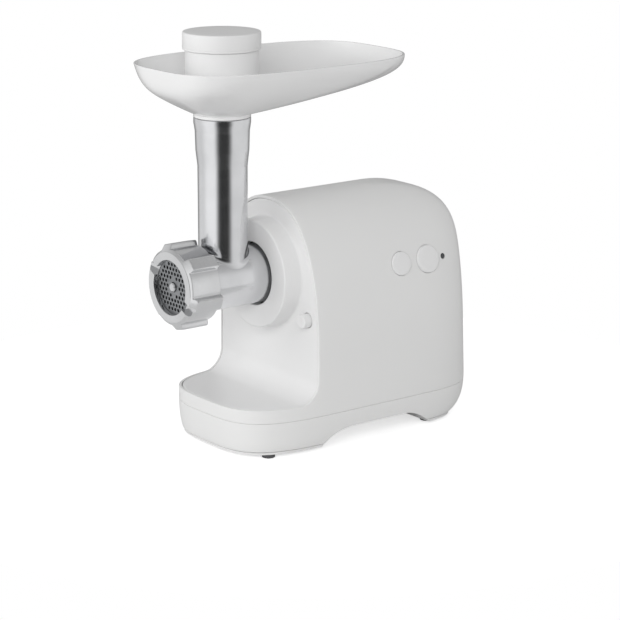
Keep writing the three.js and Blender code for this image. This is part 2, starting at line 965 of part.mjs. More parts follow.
// The way down from the tray through the tube and the barrel's wall.
const feedChannel = () =>
  upright(
    0,
    0,
    [
      [0, axisZ],
      [tube.bore, axisZ],
      [tube.bore, tube.wideBoreZ - 5],
      [tube.wideBore, tube.wideBoreZ],
      [tube.wideBore, tube.topZ + 5],
      [0, tube.topZ + 5],
    ],
    24,
  );

// What the socket's lugs and the lock's pin pass through when the head is pushed in and turned.
function bayonetGrooves() {
  const grooves = [];
  const half = lugs.halfDegrees + lugs.slackDegrees;
  const inner = socket.lugRadius - 0.5;
  const outer = barrel.collarRadius + 2;
  const frontY = lugs.frontY - 0.5;
  for (let i = 0; i < lugs.count; i++) {
    const at = lugs.firstDegrees + (360 / lugs.count) * i;
    const last = at + twistDegrees;
    grooves.push(sector(inner, outer, frontY, lugs.backY + 0.5, at - half, last + half));
    grooves.push(sector(inner, outer, frontY, barrel.backY + 4, last - half, last + half));
  }
  const pinAngle = degrees(Math.atan2(lock.z - axisZ, lock.x));
  const pocketInner = lock.pinOrbit - lock.pinRadius - 0.4;
  const from = pinAngle - lock.pocketDegrees;
  const to = pinAngle + twistDegrees + lock.pocketDegrees;
  grooves.push(sector(pocketInner, outer, lock.pocketY, barrel.backY + 4, from, to));
  return grooves;
}

function headHousing() {
  const outside = turned(
    0,
    axisZ,
    [
      [0, barrel.frontY],
      [barrel.threadRadius - barrel.edge, barrel.frontY],
      [barrel.threadRadius, barrel.frontY + barrel.edge],
      [barrel.threadRadius, barrel.threadEndY],
      [barrel.radius, barrel.threadEndY + 3],
      [barrel.radius, barrel.collarY],
      [barrel.collarRadius, barrel.collarY + barrel.edge],
      [barrel.collarRadius, barrel.backY - 0.5],
      [barrel.collarRadius - 0.5, barrel.backY],
      [0, barrel.backY],
    ],
    BARREL_SIDES,
  );
  const bushSeat = bushing.outer + GAP;
  const bore = turned(
    0,
    axisZ,
    [
      [0, barrel.frontY - 5],
      [barrel.seatRadius, barrel.frontY - 5],
      [barrel.seatRadius, barrel.seatY],
      [barrel.knifeChamber, barrel.seatY],
      [barrel.knifeChamber, barrel.knifeBackY],
      [barrel.bore, barrel.knifeBackY],
      [barrel.bore, barrel.wallY],
      [bushSeat, barrel.wallY],
      [bushSeat, barrel.backY + 5],
      [0, barrel.backY + 5],
    ],
    24,
  );
  piece("head_housing", cut(outside, bore, feedChannel(), ...bayonetGrooves()), aluminium);
}

// The tube stands on the barrel's round back.
function feedTube() {
  const chimney = upright(
    0,
    0,
    [
      [0, axisZ],
      [tube.rootRadius, axisZ],
      [tube.rootRadius, tube.rootZ],
      [tube.radius + 1.2, tube.rootZ + 7],
      [tube.radius, tube.flareZ],
      [tube.radius, tube.narrowZ],
      [tube.radius + 0.8, tube.narrowZ + 3],
      [tube.wideRadius - 0.8, tube.wideZ - 3],
      [tube.wideRadius, tube.wideZ],
      [tube.wideRadius, tube.topZ],
      [0, tube.topZ],
    ],
    28,
  );
  const end = tube.rootRadius + 1;
  const saddle = rod(0, axisZ, barrel.radius + tube.seam, -end, end, BARREL_SIDES);
  piece("feed_tube", cut(chimney, saddle, feedChannel()), aluminium);
}

// A circle with one lobe, turned as it is extruded: the lobe becomes the flight.
function augerPiece() {
  const shape = new THREE.Shape();
  const foot = radians(auger.flightFootDegrees);
  const tip = radians(auger.flightTipDegrees);
  shape.absarc(0, 0, auger.core, foot, 2 * Math.PI - foot, false);
  shape.absarc(0, 0, auger.flight, -tip, tip, false);
  const length = auger.backY - auger.frontY;
  const turns = length / auger.pitch;
  const geometry = new THREE.ExtrudeGeometry(shape, {
    depth: length,
    steps: Math.round(turns * 12),
    bevelEnabled: false,
    curveSegments: 2,
  });
  const place = geometry.attributes.position;
  for (let i = 0; i < place.count; i++) {
    const along = place.getZ(i);
    const angle = (2 * Math.PI * along) / auger.pitch;
    const x = place.getX(i);
    const y = place.getY(i);
    place.setXY(
      i,
      x * Math.cos(angle) - y * Math.sin(angle),
      x * Math.sin(angle) + y * Math.cos(angle),
    );
  }
  geometry.rotateX(Math.PI / 2).translate(0, auger.backY, axisZ);
  const half = auger.square / 2;
  const screw = join(
    solid(geometry),
    box(-half, half, knife.frontY - 0.4, auger.frontY + 1, axisZ - half, axisZ + half),
    turned(
      0,
      axisZ,
      [
        [0, auger.pinFrontY],
        [auger.pinRadius - auger.pinEdge, auger.pinFrontY],
        [auger.pinRadius, auger.pinFrontY + auger.pinEdge],
        [auger.pinRadius, auger.frontY + 1],
        [0, auger.frontY + 1],
      ],
      16,
    ),
    rod(0, axisZ, auger.neckRadius, auger.backY - 1, auger.neckBackY, 20),
    rod(0, axisZ, auger.hexRadius, auger.hexFrontY, auger.hexBackY, 6),
  );
  piece("auger", screw, aluminium);
}

function augerBush() {
  const { inner, outer, frontY, backY } = bushing;
  piece("auger_bush", sleeve(0, axisZ, inner, outer, frontY, backY, 28), nylon);
}

// Four curved blades round a hub with a square hole.
function knifePiece() {
  const backY = knife.frontY + knife.thickness;
  const halfWidth = knife.bladeWidth / 2;
  const shape = new THREE.Shape();
  shape.moveTo(0, -halfWidth);
  shape.lineTo(knife.shoulderRadius, -halfWidth - 0.5);
  shape.absarc(0, 0, knife.radius, radians(knife.trailDegrees), radians(knife.leadDegrees), false);
  shape.lineTo(0, halfWidth);
  const blade = plank(shape, 0, 0, knife.frontY, backY, 3);
  const blades = [0, 90, 180, 270].map((turn) =>
    blade.rotate([0, turn, 0]).translate([0, 0, axisZ]),
  );
  const hub = rod(0, axisZ, knife.hub, knife.frontY, backY, 24);
  const half = knife.square / 2;
  const hole = box(-half, half, knife.frontY - 1, backY + 1, axisZ - half, axisZ + half);
  piece("knife", cut(join(hub, ...blades), hole), steel);
}

function holePlate() {
  const backY = plate.frontY + plate.thickness;
  const disc = rod(0, axisZ, plate.radius, plate.frontY, backY, 32);
  const holes = [rod(0, axisZ, plate.pinHole, plate.frontY - 1, backY + 1, 20)];
  const rows = Math.ceil(plateField.outer / plate.pitch);
  const rowStep = plate.pitch * Math.sqrt(0.75);
  for (let row = -rows; row <= rows; row++)
    for (let column = -rows; column <= rows; column++) {
      const x = (column + (row % 2 ? 0.5 : 0)) * plate.pitch;
      const z = row * rowStep;
      const reach = Math.hypot(x, z);
      if (reach > plateField.inner && reach < plateField.outer)
        holes.push(rod(x, axisZ + z, plate.holeRadius, plate.frontY - 1, backY + 1, 5));
    }
  piece("hole_plate", cut(disc, ...holes), steel);
}

function ringNut() {
  const shape = new THREE.Shape();
  const step = 360 / nut.lobes;
  for (let i = 0; i < nut.lobes; i++) {
    const at = nut.firstDegrees + i * step;
    for (const offset of [-nut.lobeHalfDegrees, nut.lobeHalfDegrees]) {
      const angle = radians(at + offset);
      const point = [nut.lobeRadius * Math.cos(angle), nut.lobeRadius * Math.sin(angle)];
      if (i === 0 && offset < 0) shape.moveTo(...point);
      else shape.lineTo(...point);
    }
    const scoop = nut.lobeHalfDegrees + nut.scoopDegrees;
    const from = radians(at + scoop);
    const to = radians(at + step - scoop);
    shape.absarc(0, 0, nut.scoopRadius, from, to, false);
  }
  const star = plank(shape, 0, axisZ, nut.frontY, nut.backY, 3);
  const cone = turned(
    0,
    axisZ,
    [
      [0, nut.frontY],
      [nut.faceRadius, nut.frontY],
      [nut.lobeRadius + 0.5, nut.frontY + nut.bevel],
      [nut.lobeRadius + 0.5, nut.backY],
      [0, nut.backY],
    ],
    36,
  );
  const bore = turned(
    0,
    axisZ,
    [
      [0, nut.frontY - 5],
      [nut.opening, nut.frontY - 5],
      [nut.opening, nut.frontY + nut.lip],
      [nut.bore, nut.frontY + nut.lip],
      [nut.bore, nut.backY + 5],
      [0, nut.backY + 5],
    ],
    40,
  );
  const slotAngle = nut.firstDegrees - step;
  const half = nut.slotWidth / 2;
  const slots = [0, 180].map((turn) =>
    box(nut.opening - 4, nut.slotReach, nut.frontY - 5, nut.frontY + nut.slotDepth, -half, half)
      .rotate([0, -slotAngle - turn, 0])
      .translate([0, 0, axisZ]),
  );
  piece("ring_nut", cut(star.intersect(cone), bore, ...slots), aluminium);
}

// ---------- tray and pusher ----------

// One ring of the tray's dish at share s from the neck to the rim, drawn in by inset, raised by lift.
function trayRing(s, inset, lift) {
  const count = 32;
  const ring = [];
  for (let i = 0; i < count; i++) {
    const t = (2 * Math.PI * i) / count;
    const c = Math.cos(t);
    const n = Math.sin(t);
    const widen = Math.min(1, tray.spread + tray.spreadRear * n + tray.spreadSide * c * c);
    const out = s + widen * s * (1 - s);
    const rimX = (tray.halfWidth - inset) * power(c, 2 / tray.rimPower);
    const rimY = tray.centreY + (tray.halfLength - inset) * power(n, 2 / tray.rimPower);
    const neck = tray.neckOuter - inset;
    const start = Math.min(1, tray.riseStart + tray.riseRear * n + tray.riseSide * c * c);
    const rise = start * s + (1 - start) * s ** tray.risePower;
    ring.push([
      (1 - out) * neck * c + out * rimX,
      (1 - out) * neck * n + out * rimY,
      tray.neckZ + (tray.rimZ - tray.neckZ) * rise + lift,
    ]);
  }
  return ring;
}

const trayShares = [0, 0.2, 0.42, 0.64, 0.82, 0.93, 1];

function trayPiece() {
  const outer = loft(trayShares.map((s) => trayRing(s, 0, 0)));
  const rings = trayShares.slice(0, -1).map((s) => trayRing(s, tray.wall, tray.lift));
  rings.push(trayRing(1, tray.wall, tray.rimLift));
  const inner = loft(rings);
  const neck = upright(
    0,
    0,
    [
      [tray.neckInner, tray.spigotZ],
      [tray.spigotRadius, tray.spigotZ],
      [tray.spigotRadius, tube.topZ + GAP],
      [tray.neckOuter, tube.topZ + GAP],
      [tray.neckOuter, tray.neckZ + 0.5],
      [tray.neckInner, tray.neckZ + 0.5],
      [tray.neckInner, tray.spigotZ],
    ],
    28,
  );
  const mouth = post(0, 0, tray.neckInner, tray.neckZ - 5, tray.neckZ + 9, 28);
  piece("tray", join(cut(outer, inner, mouth), neck), gloss);
}

function pusherPieces() {
  const { stemRadius, stemZ, drumRadius, drumZ, shoulderRadius, seamZ, wall } = pusher;
  const { capRadius, capZ, skirtZ, edge } = pusher;
  const skirtOuter = drumRadius - wall - GAP;
  const skirtInner = drumRadius - 2 * wall;
  const capSeatZ = seamZ + GAP;
  piece(
    "pusher",
    upright(0, 0, [
      [0, stemZ],
      [stemRadius - 1, stemZ],
      [stemRadius, stemZ + 1],
      [stemRadius, drumZ],
      [shoulderRadius, drumZ + 1],
      [drumRadius, drumZ + 2.5],
      [drumRadius, seamZ],
      [drumRadius - wall, seamZ],
      [drumRadius - wall, drumZ + 1 + wall],
      [stemRadius - wall, drumZ + wall],
      [stemRadius - wall, stemZ + wall],
      [0, stemZ + wall],
    ]),
    white,
  );
  piece(
    "pusher_cap",
    upright(0, 0, [
      [0, capZ - wall],
      [capRadius - wall, capZ - wall],
      [capRadius - wall, capSeatZ + wall],
      [skirtInner, capSeatZ + wall],
      [skirtInner, skirtZ],
      [skirtOuter, skirtZ],
      [skirtOuter, capSeatZ],
      [capRadius, capSeatZ],
      [capRadius, capZ - edge],
      [capRadius - edge, capZ],
      [0, capZ],
    ]),
    white,
  );
}

// ---------- gearbox ----------

const outputPlace = { x: 0, z: axisZ };
const { gearTwo: twoPlace, gearOne: onePlace } = gearbox;
const motorPlace = { x: motor.x, z: motor.z };

// The direction from one centre to another, in degrees from +X towards +Z.
const bearing = (from, to) => degrees(Math.atan2(to.z - from.z, to.x - from.x));

// Straight-sided teeth; the first tooth points along firstDegrees.
function gear({ teeth, module, frontY, width }, place, firstDegrees) {
  const pitchRadius = (teeth * module) / 2;
  const rootRadius = pitchRadius - 1.2 * module;
  const tipRadius = pitchRadius + 0.9 * module;
  const tooth = 360 / teeth;
  const shape = new THREE.Shape();
  for (let i = 0; i < teeth; i++) {
    const at = firstDegrees + i * tooth;
    const corners = [
      [rootRadius, -0.31],
      [tipRadius, -0.11],
      [tipRadius, 0.11],
      [rootRadius, 0.31],
    ];
    corners.forEach(([radius, share], corner) => {
      const angle = radians(at + share * tooth);
      const point = [radius * Math.cos(angle), radius * Math.sin(angle)];
      if (i === 0 && corner === 0) shape.moveTo(...point);
      else shape.lineTo(...point);
    });
  }
  return plank(shape, place.x, place.z, frontY, frontY + width, 1);
}

function gearTrain() {
  const half = (spec) => 180 / spec.teeth;
  const bore = (place, radius) =>
    rod(place.x, place.z, radius + GAP, gearbox.frontY, gearbox.coverBackY, 20);
  const pin = ({ x, z }) => rod(x, z, gearPin.radius, gearPin.frontY, gearPin.backY, 16);

  // Each meshing pair has a tooth of one gear pointing at a gap of the other.
  const toTwo = bearing(outputPlace, twoPlace);
  const outputWheel = gear(gears.output, outputPlace, toTwo);
  piece("output_gear", cut(outputWheel, bore(outputPlace, output.journal)), steel);

  const towardsOutput = toTwo + 180;
  const toOne = bearing(twoPlace, onePlace);
  const pinionTwo = gear(gears.twoPinion, twoPlace, towardsOutput + half(gears.twoPinion));
  const wheelTwo = gear(gears.twoWheel, twoPlace, toOne);
  piece("gear_two", cut(join(pinionTwo, wheelTwo), bore(twoPlace, gearPin.radius)), nylon);
  piece("gear_two_pin", pin(twoPlace), steel);

  const pinionOne = gear(gears.onePinion, onePlace, toOne + 180 + half(gears.onePinion));
  const toMotor = bearing(onePlace, motorPlace);
  const wheelOne = gear(gears.oneWheel, onePlace, toMotor);
  const { radius, frontY, backY } = gearSpacer;
  const spacer = rod(onePlace.x, onePlace.z, radius, frontY, backY, 20);
  const one = cut(join(pinionOne, spacer, wheelOne), bore(onePlace, gearPin.radius));
  piece("gear_one", one, nylon);
  piece("gear_one_pin", pin(onePlace), steel);

  const drive = gear(gears.motorPinion, motorPlace, toMotor + 180 + half(gears.motorPinion));
  piece("motor_pinion", cut(drive, bore(motorPlace, motor.noseRadius)), steel);
}

function outputShaft() {
  const shaft = turned(
    0,
    axisZ,
    [
      [0, output.frontY],
      [output.headRadius, output.frontY],
      [output.headRadius, output.headBackY],
      [output.journal, output.headBackY],
      [output.journal, output.journalBackY],
      [output.endRadius, output.endFrontY],
      [output.endRadius, output.backY],
      [0, output.backY],
    ],
    24,
  );
  const socketRadius = auger.hexRadius + output.socketClearance;
  const hexSocket = rod(0, axisZ, socketRadius, output.frontY - 5, output.socketBackY, 6);
  piece("output_shaft", cut(shaft, hexSocket), steel);
  const { outer, frontY, backY } = outputBush;
  piece("output_bush", sleeve(0, axisZ, output.journal + GAP, outer, frontY, backY, 24), brass);
}

// The gearbox follows the gears: one round pocket about each centre.
function pockets(grow, y0, y1) {
  return join(
    rod(outputPlace.x, outputPlace.z, gearbox.outputPocket + grow, y0, y1, 24),
    rod(twoPlace.x, twoPlace.z, gearbox.twoPocket + grow, y0, y1, 24),
    rod(onePlace.x, onePlace.z, gearbox.onePocket + grow, y0, y1, 24),
    rod(motorPlace.x, motorPlace.z, gearbox.motorPocket + grow, y0, y1, 16),
  );
}

const boltPlaces = [-1, 1].map((side) => ({ x: side * bolt.x, z: motor.z + side * bolt.z }));

function gearboxPieces() {
  const { frontY, innerY, backY, wall, coverFrontY, coverBackY } = gearbox;
  const { coverHalfWidth, coverHalfHeight, boltPillarRadius, boltPillarBackY } = gearbox;
  const { x, z } = motor;
  const past = coverBackY + 5;
  const pinHole = gearPin.radius + GAP;
  const pinHoles = [twoPlace, onePlace].map((at) => rod(at.x, at.z, pinHole, frontY - 5, past, 16));
  const outputHole = rod(0, axisZ, outputBush.outer + GAP, frontY - 5, backY - 5, 24);
  const tub = cut(pockets(wall, frontY, backY), pockets(0, innerY, backY + 5));
  piece("gearbox_case", cut(tub, outputHole, ...pinHoles), aluminium);

  const cupFrontY = coverBackY - 0.5;
  const cupBackY = ballBearing.frontY + ballBearing.length + 1;
  const shaftHole = rod(x, z, motor.shaftRadius + GAP, coverFrontY - 5, past, 20);
  const cup = sleeve(x, z, ballBearing.outer + GAP, ballBearing.cupRadius, cupFrontY, cupBackY, 28);
  const pillars = boltPlaces.map((at) =>
    rod(at.x, at.z, boltPillarRadius, cupFrontY, boltPillarBackY, 16),
  );
  const boltHoles = boltPlaces.map((at) =>
    rod(at.x, at.z, bolt.radius + GAP, coverFrontY - 2, boltPillarBackY + 2, 12),
  );
  const lowZ = z - coverHalfHeight;
  const highZ = z + coverHalfHeight;
  const foundation = join(
    pockets(wall, coverFrontY, coverBackY),
    box(-coverHalfWidth, coverHalfWidth, coverFrontY, coverBackY, lowZ, highZ),
  );
  const cover = join(cut(foundation, shaftHole, ...pinHoles), cup, ...pillars);
  piece("gearbox_cover", cut(cover, ...boltHoles), aluminium);
}

// A ring behind the boss, with three lugs that hold the head.
function headSocket() {
  const ring = sleeve(0, axisZ, socket.inner, socket.outer, socket.frontY, socket.backY, 28);
  const keys = [];
  for (let i = 0; i < lugs.count; i++) {
    const at = lugs.firstDegrees + (360 / lugs.count) * i;
    const half = lugs.halfDegrees;
    const { lugRadius, lugRoot } = socket;
    keys.push(sector(lugRadius, lugRoot, lugs.frontY, lugs.backY, at - half, at + half));
  }
  piece("head_socket", join(ring, ...keys), steel);
}

// ---------- motor ----------

const onShaft = motor.shaftRadius + GAP;
const onMotor = (part) => part.translate([motor.x, 0, motor.z]);
const boltHolesBetween = (y0, y1) =>
  boltPlaces.map((at) => rod(at.x, at.z, bolt.radius + GAP, y0, y1, 12));

function rotorPieces() {
  const { x, z } = motor;
  const shaft = turned(
    x,
    z,
    [
      [0, motor.frontY],
      [motor.noseRadius, motor.frontY],
      [motor.noseRadius, motor.noseBackY],
      [motor.shaftRadius, motor.noseBackY],
      [motor.shaftRadius, motor.backY],
      [0, motor.backY],
    ],
    16,
  );
  piece("motor_shaft", shaft, steel);

  const frontY = stator.frontY - 1;
  const backY = stator.backY + 1;
  const slotInner = rotor.radius - rotor.slotDepth;
  const slot = box(slotInner, rotor.radius + 2, frontY, backY, -rotor.slotHalf, rotor.slotHalf);
  const slots = [];
  for (let i = 0; i < rotor.slots; i++)
    slots.push(onMotor(slot.rotate([0, (360 / rotor.slots) * i, 0])));
  const core = rod(x, z, rotor.radius, stator.frontY, stator.backY, 36);
  piece("rotor_core", cut(core, rod(x, z, onShaft, frontY, backY, 16), ...slots), steel);
  const { radius: outer } = commutator;
  const bars = sleeve(x, z, onShaft, outer, commutator.frontY, commutator.backY, 24);
  piece("commutator", bars, copper);

  const hub = sleeve(x, z, onShaft, fan.hubRadius, fan.frontY, fan.backY, 20);
  const disc = sleeve(x, z, fan.discInner, fan.discRadius, fan.frontY, fan.discBackY, 32);
  const { bladeStart, discRadius, bladeFrontY, bladeHalf } = fan;
  const blade = box(bladeStart, discRadius, bladeFrontY, fan.backY, -bladeHalf, bladeHalf);
  const blades = [];
  for (let i = 0; i < fan.blades; i++)
    blades.push(onMotor(blade.rotate([0, (360 / fan.blades) * i, 0])));
  piece("motor_fan", join(hub, disc, ...blades), nylon);
}

function statorPieces() {
  const { x, z } = motor;
  const { frontY, backY, corner, slotHalfWidth, slotLowZ, slotHighZ } = stator;
  const right = stator.halfWidth - corner;
  const top = stator.halfHeight - corner;
  const stack = new THREE.Shape();
  stack.moveTo(-stator.halfWidth, -top);
  stack.absarc(-right, -top, corner, Math.PI, 1.5 * Math.PI, false);
  stack.absarc(right, -top, corner, -Math.PI / 2, 0, false);
  stack.absarc(right, top, corner, 0, Math.PI / 2, false);
  stack.absarc(-right, top, corner, Math.PI / 2, Math.PI, false);
  const y0 = frontY - 5;
  const y1 = backY + 5;
  const core = cut(
    plank(stack, x, z, frontY, backY, 3),
    rod(x, z, rotor.radius + rotor.airGap, y0, y1, 32),
    box(-slotHalfWidth, slotHalfWidth, y0, y1, z - slotHighZ, z - slotLowZ),
    box(-slotHalfWidth, slotHalfWidth, y0, y1, z + slotLowZ, z + slotHighZ),
    ...boltHolesBetween(y0, y1),
  );
  piece("stator_core", core, steel);

  // Each winding is a flat loop whose long sides lie in the stator's slots.
  const { halfWidth, innerHalf, lowZ, highZ, overhang, innerOverhang } = winding;
  for (const [name, low, high] of [
    ["field_coil_top", z + lowZ, z + highZ],
    ["field_coil_bottom", z - highZ, z - lowZ],
  ]) {
    const inside = [frontY - innerOverhang, backY + innerOverhang];
    const loop = cut(
      box(-halfWidth, halfWidth, frontY - overhang, backY + overhang, low, high),
      box(-innerHalf, innerHalf, ...inside, low - 1, high + 1),
    );
    piece(name, loop, copper);
  }
}

function motorEnds() {
  const { x, z } = motor;
  const { frontY: frontBearingY, rearY: rearBearingY, outer, length, cupRadius } = ballBearing;
  for (const [name, y] of [
    ["front_bearing", frontBearingY],
    ["rear_bearing", rearBearingY],
  ])
    piece(name, sleeve(x, z, onShaft, outer, y, y + length, 24), steel);

  const { halfWidth, halfHeight, frontY, backY, cupBackY, legHalfHeight } = bracket;
  const seat = outer + GAP;
  const crossbar = box(-halfWidth, halfWidth, frontY, backY, z - halfHeight, z + halfHeight);
  const cup = sleeve(x, z, seat, cupRadius, frontY, cupBackY, 24);
  const [legLow, legHigh] = [z - legHalfHeight, z + legHalfHeight];
  const legs = [
    box(-halfWidth, -bracket.legInner, bracket.legFrontY, backY, legLow, legHigh),
    box(bracket.legInner, halfWidth, bracket.legFrontY, backY, legLow, legHigh),
  ];
  const hole = rod(x, z, seat, frontY - 5, cupBackY + 2, 24);
  const { recessHalf, recessFrontY, recessBackY } = bracket;
  const aroundStator = [z - stator.halfHeight, z + stator.halfHeight];
  const recess = box(-recessHalf, recessHalf, recessFrontY, recessBackY, ...aroundStator);
  const frame = join(cut(crossbar, hole), cup, ...legs);
  const boltHoles = boltHolesBetween(frontY - 5, cupBackY);
  piece("motor_rear_bracket", cut(frame, recess, ...boltHoles), black);

  const headFrontY = stator.backY + GAP;
  const boltProfile = [
    [0, bolt.frontY],
    [bolt.radius, bolt.frontY],
    [bolt.radius, headFrontY],
    [bolt.headRadius, headFrontY],
    [bolt.headRadius, headFrontY + bolt.headLength],
    [0, headFrontY + bolt.headLength],
  ];
  boltPlaces.forEach((at, i) =>
    piece(
      i ? "motor_bolt_right" : "motor_bolt_left",
      turned(at.x, at.z, boltProfile, 12),
      steel,
    ),
  );
  const { inner, frontY: brushY, backY: brushBackY } = brush;
  for (const [name, x0, x1] of [
    ["brush_left", -brush.outer, -inner],
    ["brush_right", inner, brush.outer],
  ])
    piece(name, box(x0, x1, brushY, brushBackY, z - brush.halfHeight, z + brush.halfHeight), black);
}

function suppressionCapacitor() {
  const { x0, x1, frontY, backY, lowZ, highZ } = capacitor;
  piece("suppression_capacitor", box(x0, x1, frontY, backY, lowZ, highZ), finish(0xc9a227, 0.5, 0));
}

// ---------- assembly ----------

mainHousing();
frontFascia();
baseCase();
bottomPlate();
feet();
caseScrews();
cordGland();
controls();
headLock();
headHousing();
feedTube();
augerPiece();
augerBush();
knifePiece();
holePlate();
ringNut();
trayPiece();
pusherPieces();
gearTrain();
outputShaft();
gearboxPieces();
headSocket();
rotorPieces();
statorPieces();
motorEnds();
suppressionCapacitor();

const trayFrontY = tray.centreY - tray.halfLength;
grinder.position.set(0, -(trayFrontY + body.rearY) / 2, 0);

const meatGrinder = new THREE.Group();
meatGrinder.add(grinder);
export default meatGrinder;
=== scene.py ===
"""Electric meat grinder: the detailed pieces and their materials, built around the CAD frame."""
import json
import math

import bmesh
import bpy
from mathutils import Matrix, Vector


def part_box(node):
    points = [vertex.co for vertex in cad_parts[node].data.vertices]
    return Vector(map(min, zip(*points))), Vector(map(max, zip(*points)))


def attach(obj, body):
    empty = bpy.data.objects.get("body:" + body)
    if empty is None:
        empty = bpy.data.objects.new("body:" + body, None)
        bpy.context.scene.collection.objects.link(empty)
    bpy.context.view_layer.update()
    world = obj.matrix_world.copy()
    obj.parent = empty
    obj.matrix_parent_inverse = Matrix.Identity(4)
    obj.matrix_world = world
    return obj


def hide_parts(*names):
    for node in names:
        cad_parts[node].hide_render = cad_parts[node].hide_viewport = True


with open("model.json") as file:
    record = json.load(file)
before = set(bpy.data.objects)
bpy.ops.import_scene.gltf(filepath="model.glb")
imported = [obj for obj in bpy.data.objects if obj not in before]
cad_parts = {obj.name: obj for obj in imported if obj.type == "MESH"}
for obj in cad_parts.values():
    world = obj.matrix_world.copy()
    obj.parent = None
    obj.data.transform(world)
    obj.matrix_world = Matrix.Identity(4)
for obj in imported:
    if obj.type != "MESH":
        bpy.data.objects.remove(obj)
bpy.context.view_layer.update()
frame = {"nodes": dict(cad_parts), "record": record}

# ---------- places ----------
# In millimetres, from the foot of the feed tube's axis. The frame says where the CAD's pieces are, and
# the numbers below shape what is drawn on them. The lamps and the floor are in metres.


def centre_xy(low, high):
    return (low.x + high.x) / 2, (low.y + high.y) / 2


def centre_xz(low, high):
    return (low.x + high.x) / 2, (low.z + high.z) / 2


MM = 0.001
FEED_Y = centre_xy(*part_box("pusher_cap"))[1]


def span(node):
    """A CAD node's lowest and highest corners."""
    low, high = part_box(node)
    shift = Vector((0, FEED_Y, 0))
    return (low - shift) / MM, (high - shift) / MM


housing_low, housing_high = span("main_housing")
fascia_low, fascia_high = span("front_fascia")
case_low, case_high = span("base_case")
floor_low = span("bottom_plate")[0]
head_low, head_high = span("head_housing")
feed_high = span("feed_tube")[1]
plate_low, plate_high = span("hole_plate")
nut_low, nut_high = span("ring_nut")
tray_low, tray_high = span("tray")
pusher_low, pusher_high = span("pusher")
lid_low, lid_high = span("pusher_cap")
lock_low, lock_high = span("lock_button")
gland_low, gland_high = span("cord_gland")

WALL = 2.6
SEAM = 0.3  # the gap between a hole and what sits in it
EDGE = 0.9  # rounding of the moulded edges
LOW_EDGE = 0.35  # and of those at the parting line
HALF_WIDTH = housing_high.x
CROWN_Z = housing_high.z
REAR_Y = housing_high.y
PANEL_Y = fascia_high.y - WALL
DECK_Z = fascia_low.z + WALL
AXIS_Z = centre_xz(plate_low, plate_high)[1]
HOUSING_FOOT_Z = case_high.z + 0.25  # rims at the parting line
BASE_TOP_Z = case_high.z + 0.05

SHOULDER_Z = 83.6  # the front view is straight below and an arch above
ARCH_POWER = 2.37
REAR_ROUND = 83.2  # the plan's rounded back, which leans forward a little as it rises
REAR_POWER = 3.5
REAR_LEAN = 0.04
CROWN_END_Y = 121.6  # the crown falls from here back, down to CROWN_DROP_Z
CROWN_DROP_Z = 150
CROWN_POWER = 3.7
TUCK_FROM_Z = 40  # below this height the walls curve in to the underside
SIDE_TUCK = 6.8
REAR_TUCK = 39
TUCK_POWER = 2.7
FRONT_ROUND = 107.4  # the plan's rounded front
FRONT_POWER = 3.5
FRONT_CENTRE_Y = housing_low.y + FRONT_ROUND
FILLET = 20  # the curve from the panel to the deck
FILLET_Y = PANEL_Y - FILLET
FILLET_Z = DECK_Z + FILLET

SIDE_TILT = 0.27  # how much the buttons' direction rises, per unit outward
SIDE_FACE_X = 66.35
SIDE_FACE_Z = 155
POWER_Y = centre_xy(*span("power_button"))[1]
REVERSE_Y = centre_xy(*span("reverse_button"))[1]
LENS_Y = centre_xy(*span("indicator_lens"))[1]
POWER_RADIUS = 12.6
REVERSE_RADIUS = 10.8
LENS_RADIUS = 2.4
LOCK_AT = centre_xz(lock_low, lock_high)
LOCK_RADIUS = 6.3
LOCK_HOLE = 6.9
GLAND_AT = centre_xz(gland_low, gland_high)
GLAND_BORE = 3.6
GLAND_HOLE = 5.5


# ---------- mesh helpers ----------


def link(name, data):
    """A new object in the scene."""
    obj = bpy.data.objects.new(name, data)
    bpy.context.scene.collection.objects.link(obj)
    return obj


def weld(bm):
    """Joins points that meet and turns every face outward."""
    bmesh.ops.remove_doubles(bm, verts=bm.verts, dist=1e-3)
    bmesh.ops.dissolve_degenerate(bm, edges=bm.edges, dist=1e-4)
    bmesh.ops.recalc_face_normals(bm, faces=bm.faces)


def new_object(name, bm):
    """Turns a bmesh in millimetres into an object in metres, in its place in the frame."""
    weld(bm)
    to_metres = Matrix.Translation((0, FEED_Y, 0)) @ Matrix.Scale(MM, 4)
    bmesh.ops.transform(bm, matrix=to_metres, verts=bm.verts)
    mesh = bpy.data.meshes.new(name)
    bm.to_mesh(mesh)
    bm.free()
    return link(name, mesh)


def grid(rows, wrap=True, bm=None):
    """Quads between rows of points; each row closes on itself if wrap."""
    bm = bm or bmesh.new()
    made = [[bm.verts.new(p) for p in row] for row in rows]
    for upper, lower in zip(made, made[1:]):
        count = len(upper)
        for i in range(count if wrap else count - 1):
            j = (i + 1) % count
            bm.faces.new((upper[i], upper[j], lower[j], lower[i]))
    return bm


